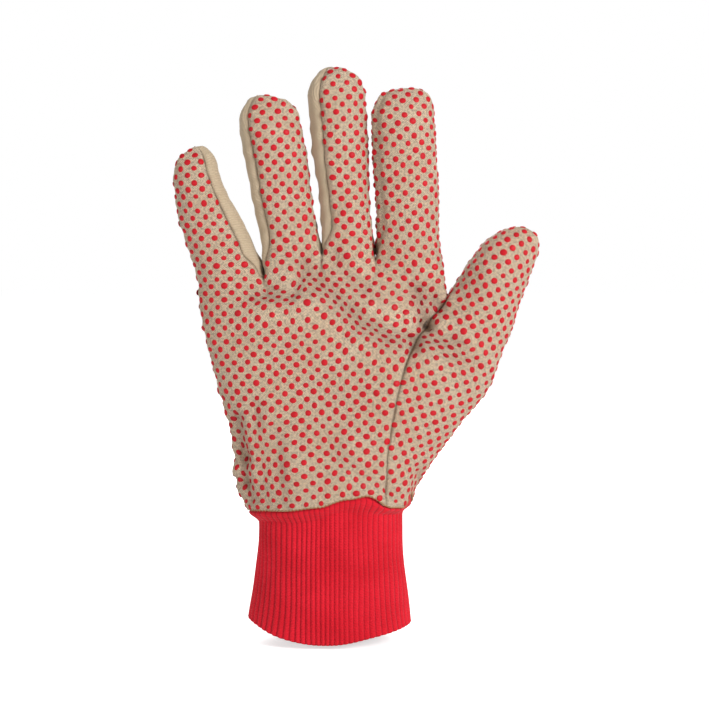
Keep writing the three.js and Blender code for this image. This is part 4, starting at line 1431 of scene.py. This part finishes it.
def dotMaterial(look):
    material, w, shader = newMaterial("softRedDot", 0.45, 0.0, 0.5, 0.22)
    place = w.node("ShaderNodeTexCoord").outputs["Object"]
    tone = w.noise(place, 300, 2.0, 0.5)
    colour = w.mixColour(w.ramp(tone, 0.3, 0.7), look["darker"], look["lighter"])
    w.put(shader.inputs["Base Color"], w.hollowShade(look["shade"], colour, look["deep"]))
    grain = w.noise(place, 2400, 2.0, 0.6)
    w.put(shader.inputs["Roughness"], w.plus(w.times(grain, 0.2), look["roughness"]))
    w.relief(shader, look["bump"], look["relief"], grain)
    return material


threadLook = {"darker": (0.3, 0.15, 0.06, 1), "lighter": (0.5, 0.3, 0.14, 1), "roughness": 0.7, "sheen": 0.2}


def threadMaterial(look):
    material, w, shader = newMaterial("brownThread", look["roughness"], look["sheen"], 0.5, 0.3)
    place = w.node("ShaderNodeTexCoord").outputs["Object"]
    tone = w.noise(place, 900, 2.0, 0.5)
    w.put(shader.inputs["Base Color"], w.mixColour(tone, look["darker"], look["lighter"]))
    return material


print("materials")
canvas = clothMaterial("cottonCanvas", canvasLook)
twill = clothMaterial("cottonTwill", twillLook)
for piece, finish in zip(panels, (canvas, canvas, twill, twill, twill)):
    piece.data.materials.append(finish)
dotFinish = dotMaterial(dotLook)
for piece, finish in (
    (knitCuff, knitMaterial(knitLook)), (palmDots, dotFinish), (thumbDots, dotFinish),
    (hemThread, threadMaterial(threadLook)),
):
    piece.data.materials.append(finish)

view = {
    "photo": 709, "scale": 0.0004585, "distance": 0.95, "elevation": 4, "centre": (0.0112, 0, 0.1309),
    "floor": -0.0015, "floorGlow": 0.62, "surround": 0.42,
}


def buildStage():
    bpy.ops.mesh.primitive_plane_add(size=8, location=(0, 0, view["floor"]))
    piece = bpy.context.object
    piece.name = "floor"
    bpy.ops.object.transform_apply(location=True, rotation=True, scale=True)
    material = bpy.data.materials.new("paleFloor")
    material.use_nodes = True
    w = Wires(material.node_tree)
    shader = material.node_tree.nodes["Principled BSDF"]
    shader.inputs["Base Color"].default_value = (0.9, 0.9, 0.9, 1)
    shader.inputs["Roughness"].default_value = 0.9
    shader.inputs["Emission Color"].default_value = (1, 1, 1, 1)
    cameraRay = w.node("ShaderNodeLightPath").outputs["Is Camera Ray"]
    w.put(shader.inputs["Emission Strength"], w.times(cameraRay, view["floorGlow"]))
    piece.data.materials.append(material)


lights = {  # place, size and power
    "keyLight": ((0.75, -0.85, 0.6), 0.45, 12),
    "fillLight": ((-0.9, -0.8, 0.3), 0.8, 2.9),
    "backLight": ((-0.2, 1.05, 0.6), 0.6, 9),
}


def softLight(name, place, size, power):
    lamp = bpy.data.lights.new(name, "AREA")
    lamp.shape = "SQUARE"
    lamp.size = size
    lamp.energy = power
    made = bpy.data.objects.new(name, lamp)
    made.location = place
    made.rotation_euler = (Vector((0.01, 0, 0.13)) - Vector(place)).to_track_quat("-Z", "Y").to_euler()
    bpy.context.scene.collection.objects.link(made)


def buildWorld():  # white behind the glove, dimmer as light
    world = bpy.data.worlds.new("studio")
    bpy.context.scene.world = world
    bpy.context.scene.view_settings.view_transform = "Standard"
    world.use_nodes = True
    w = Wires(world.node_tree)
    cameraRay = w.node("ShaderNodeLightPath").outputs["Is Camera Ray"]
    ground = world.node_tree.nodes["Background"]
    ground.inputs[0].default_value = (1, 1, 1, 1)
    w.put(ground.inputs[1], w.maths("MAXIMUM", cameraRay, view["surround"]))


def buildCamera():
    lens = bpy.data.cameras.new("camera")
    made = bpy.data.objects.new("camera", lens)
    tilt = math.radians(view["elevation"])
    centre = Vector(view["centre"])
    made.location = centre + Vector((0, -math.cos(tilt), math.sin(tilt))) * view["distance"]
    made.rotation_euler = (centre - made.location).to_track_quat("-Z", "Y").to_euler()
    lens.sensor_fit = "HORIZONTAL"
    lens.sensor_width = 36
    lens.lens = 36 * view["distance"] / (view["photo"] * view["scale"])
    lens.clip_start = 0.01
    bpy.context.scene.collection.objects.link(made)
    bpy.context.scene.camera = made


print("stage, light and camera")
buildStage()
for name, (place, size, power) in lights.items():
    softLight(name, place, size, power)
buildWorld()
buildCamera()
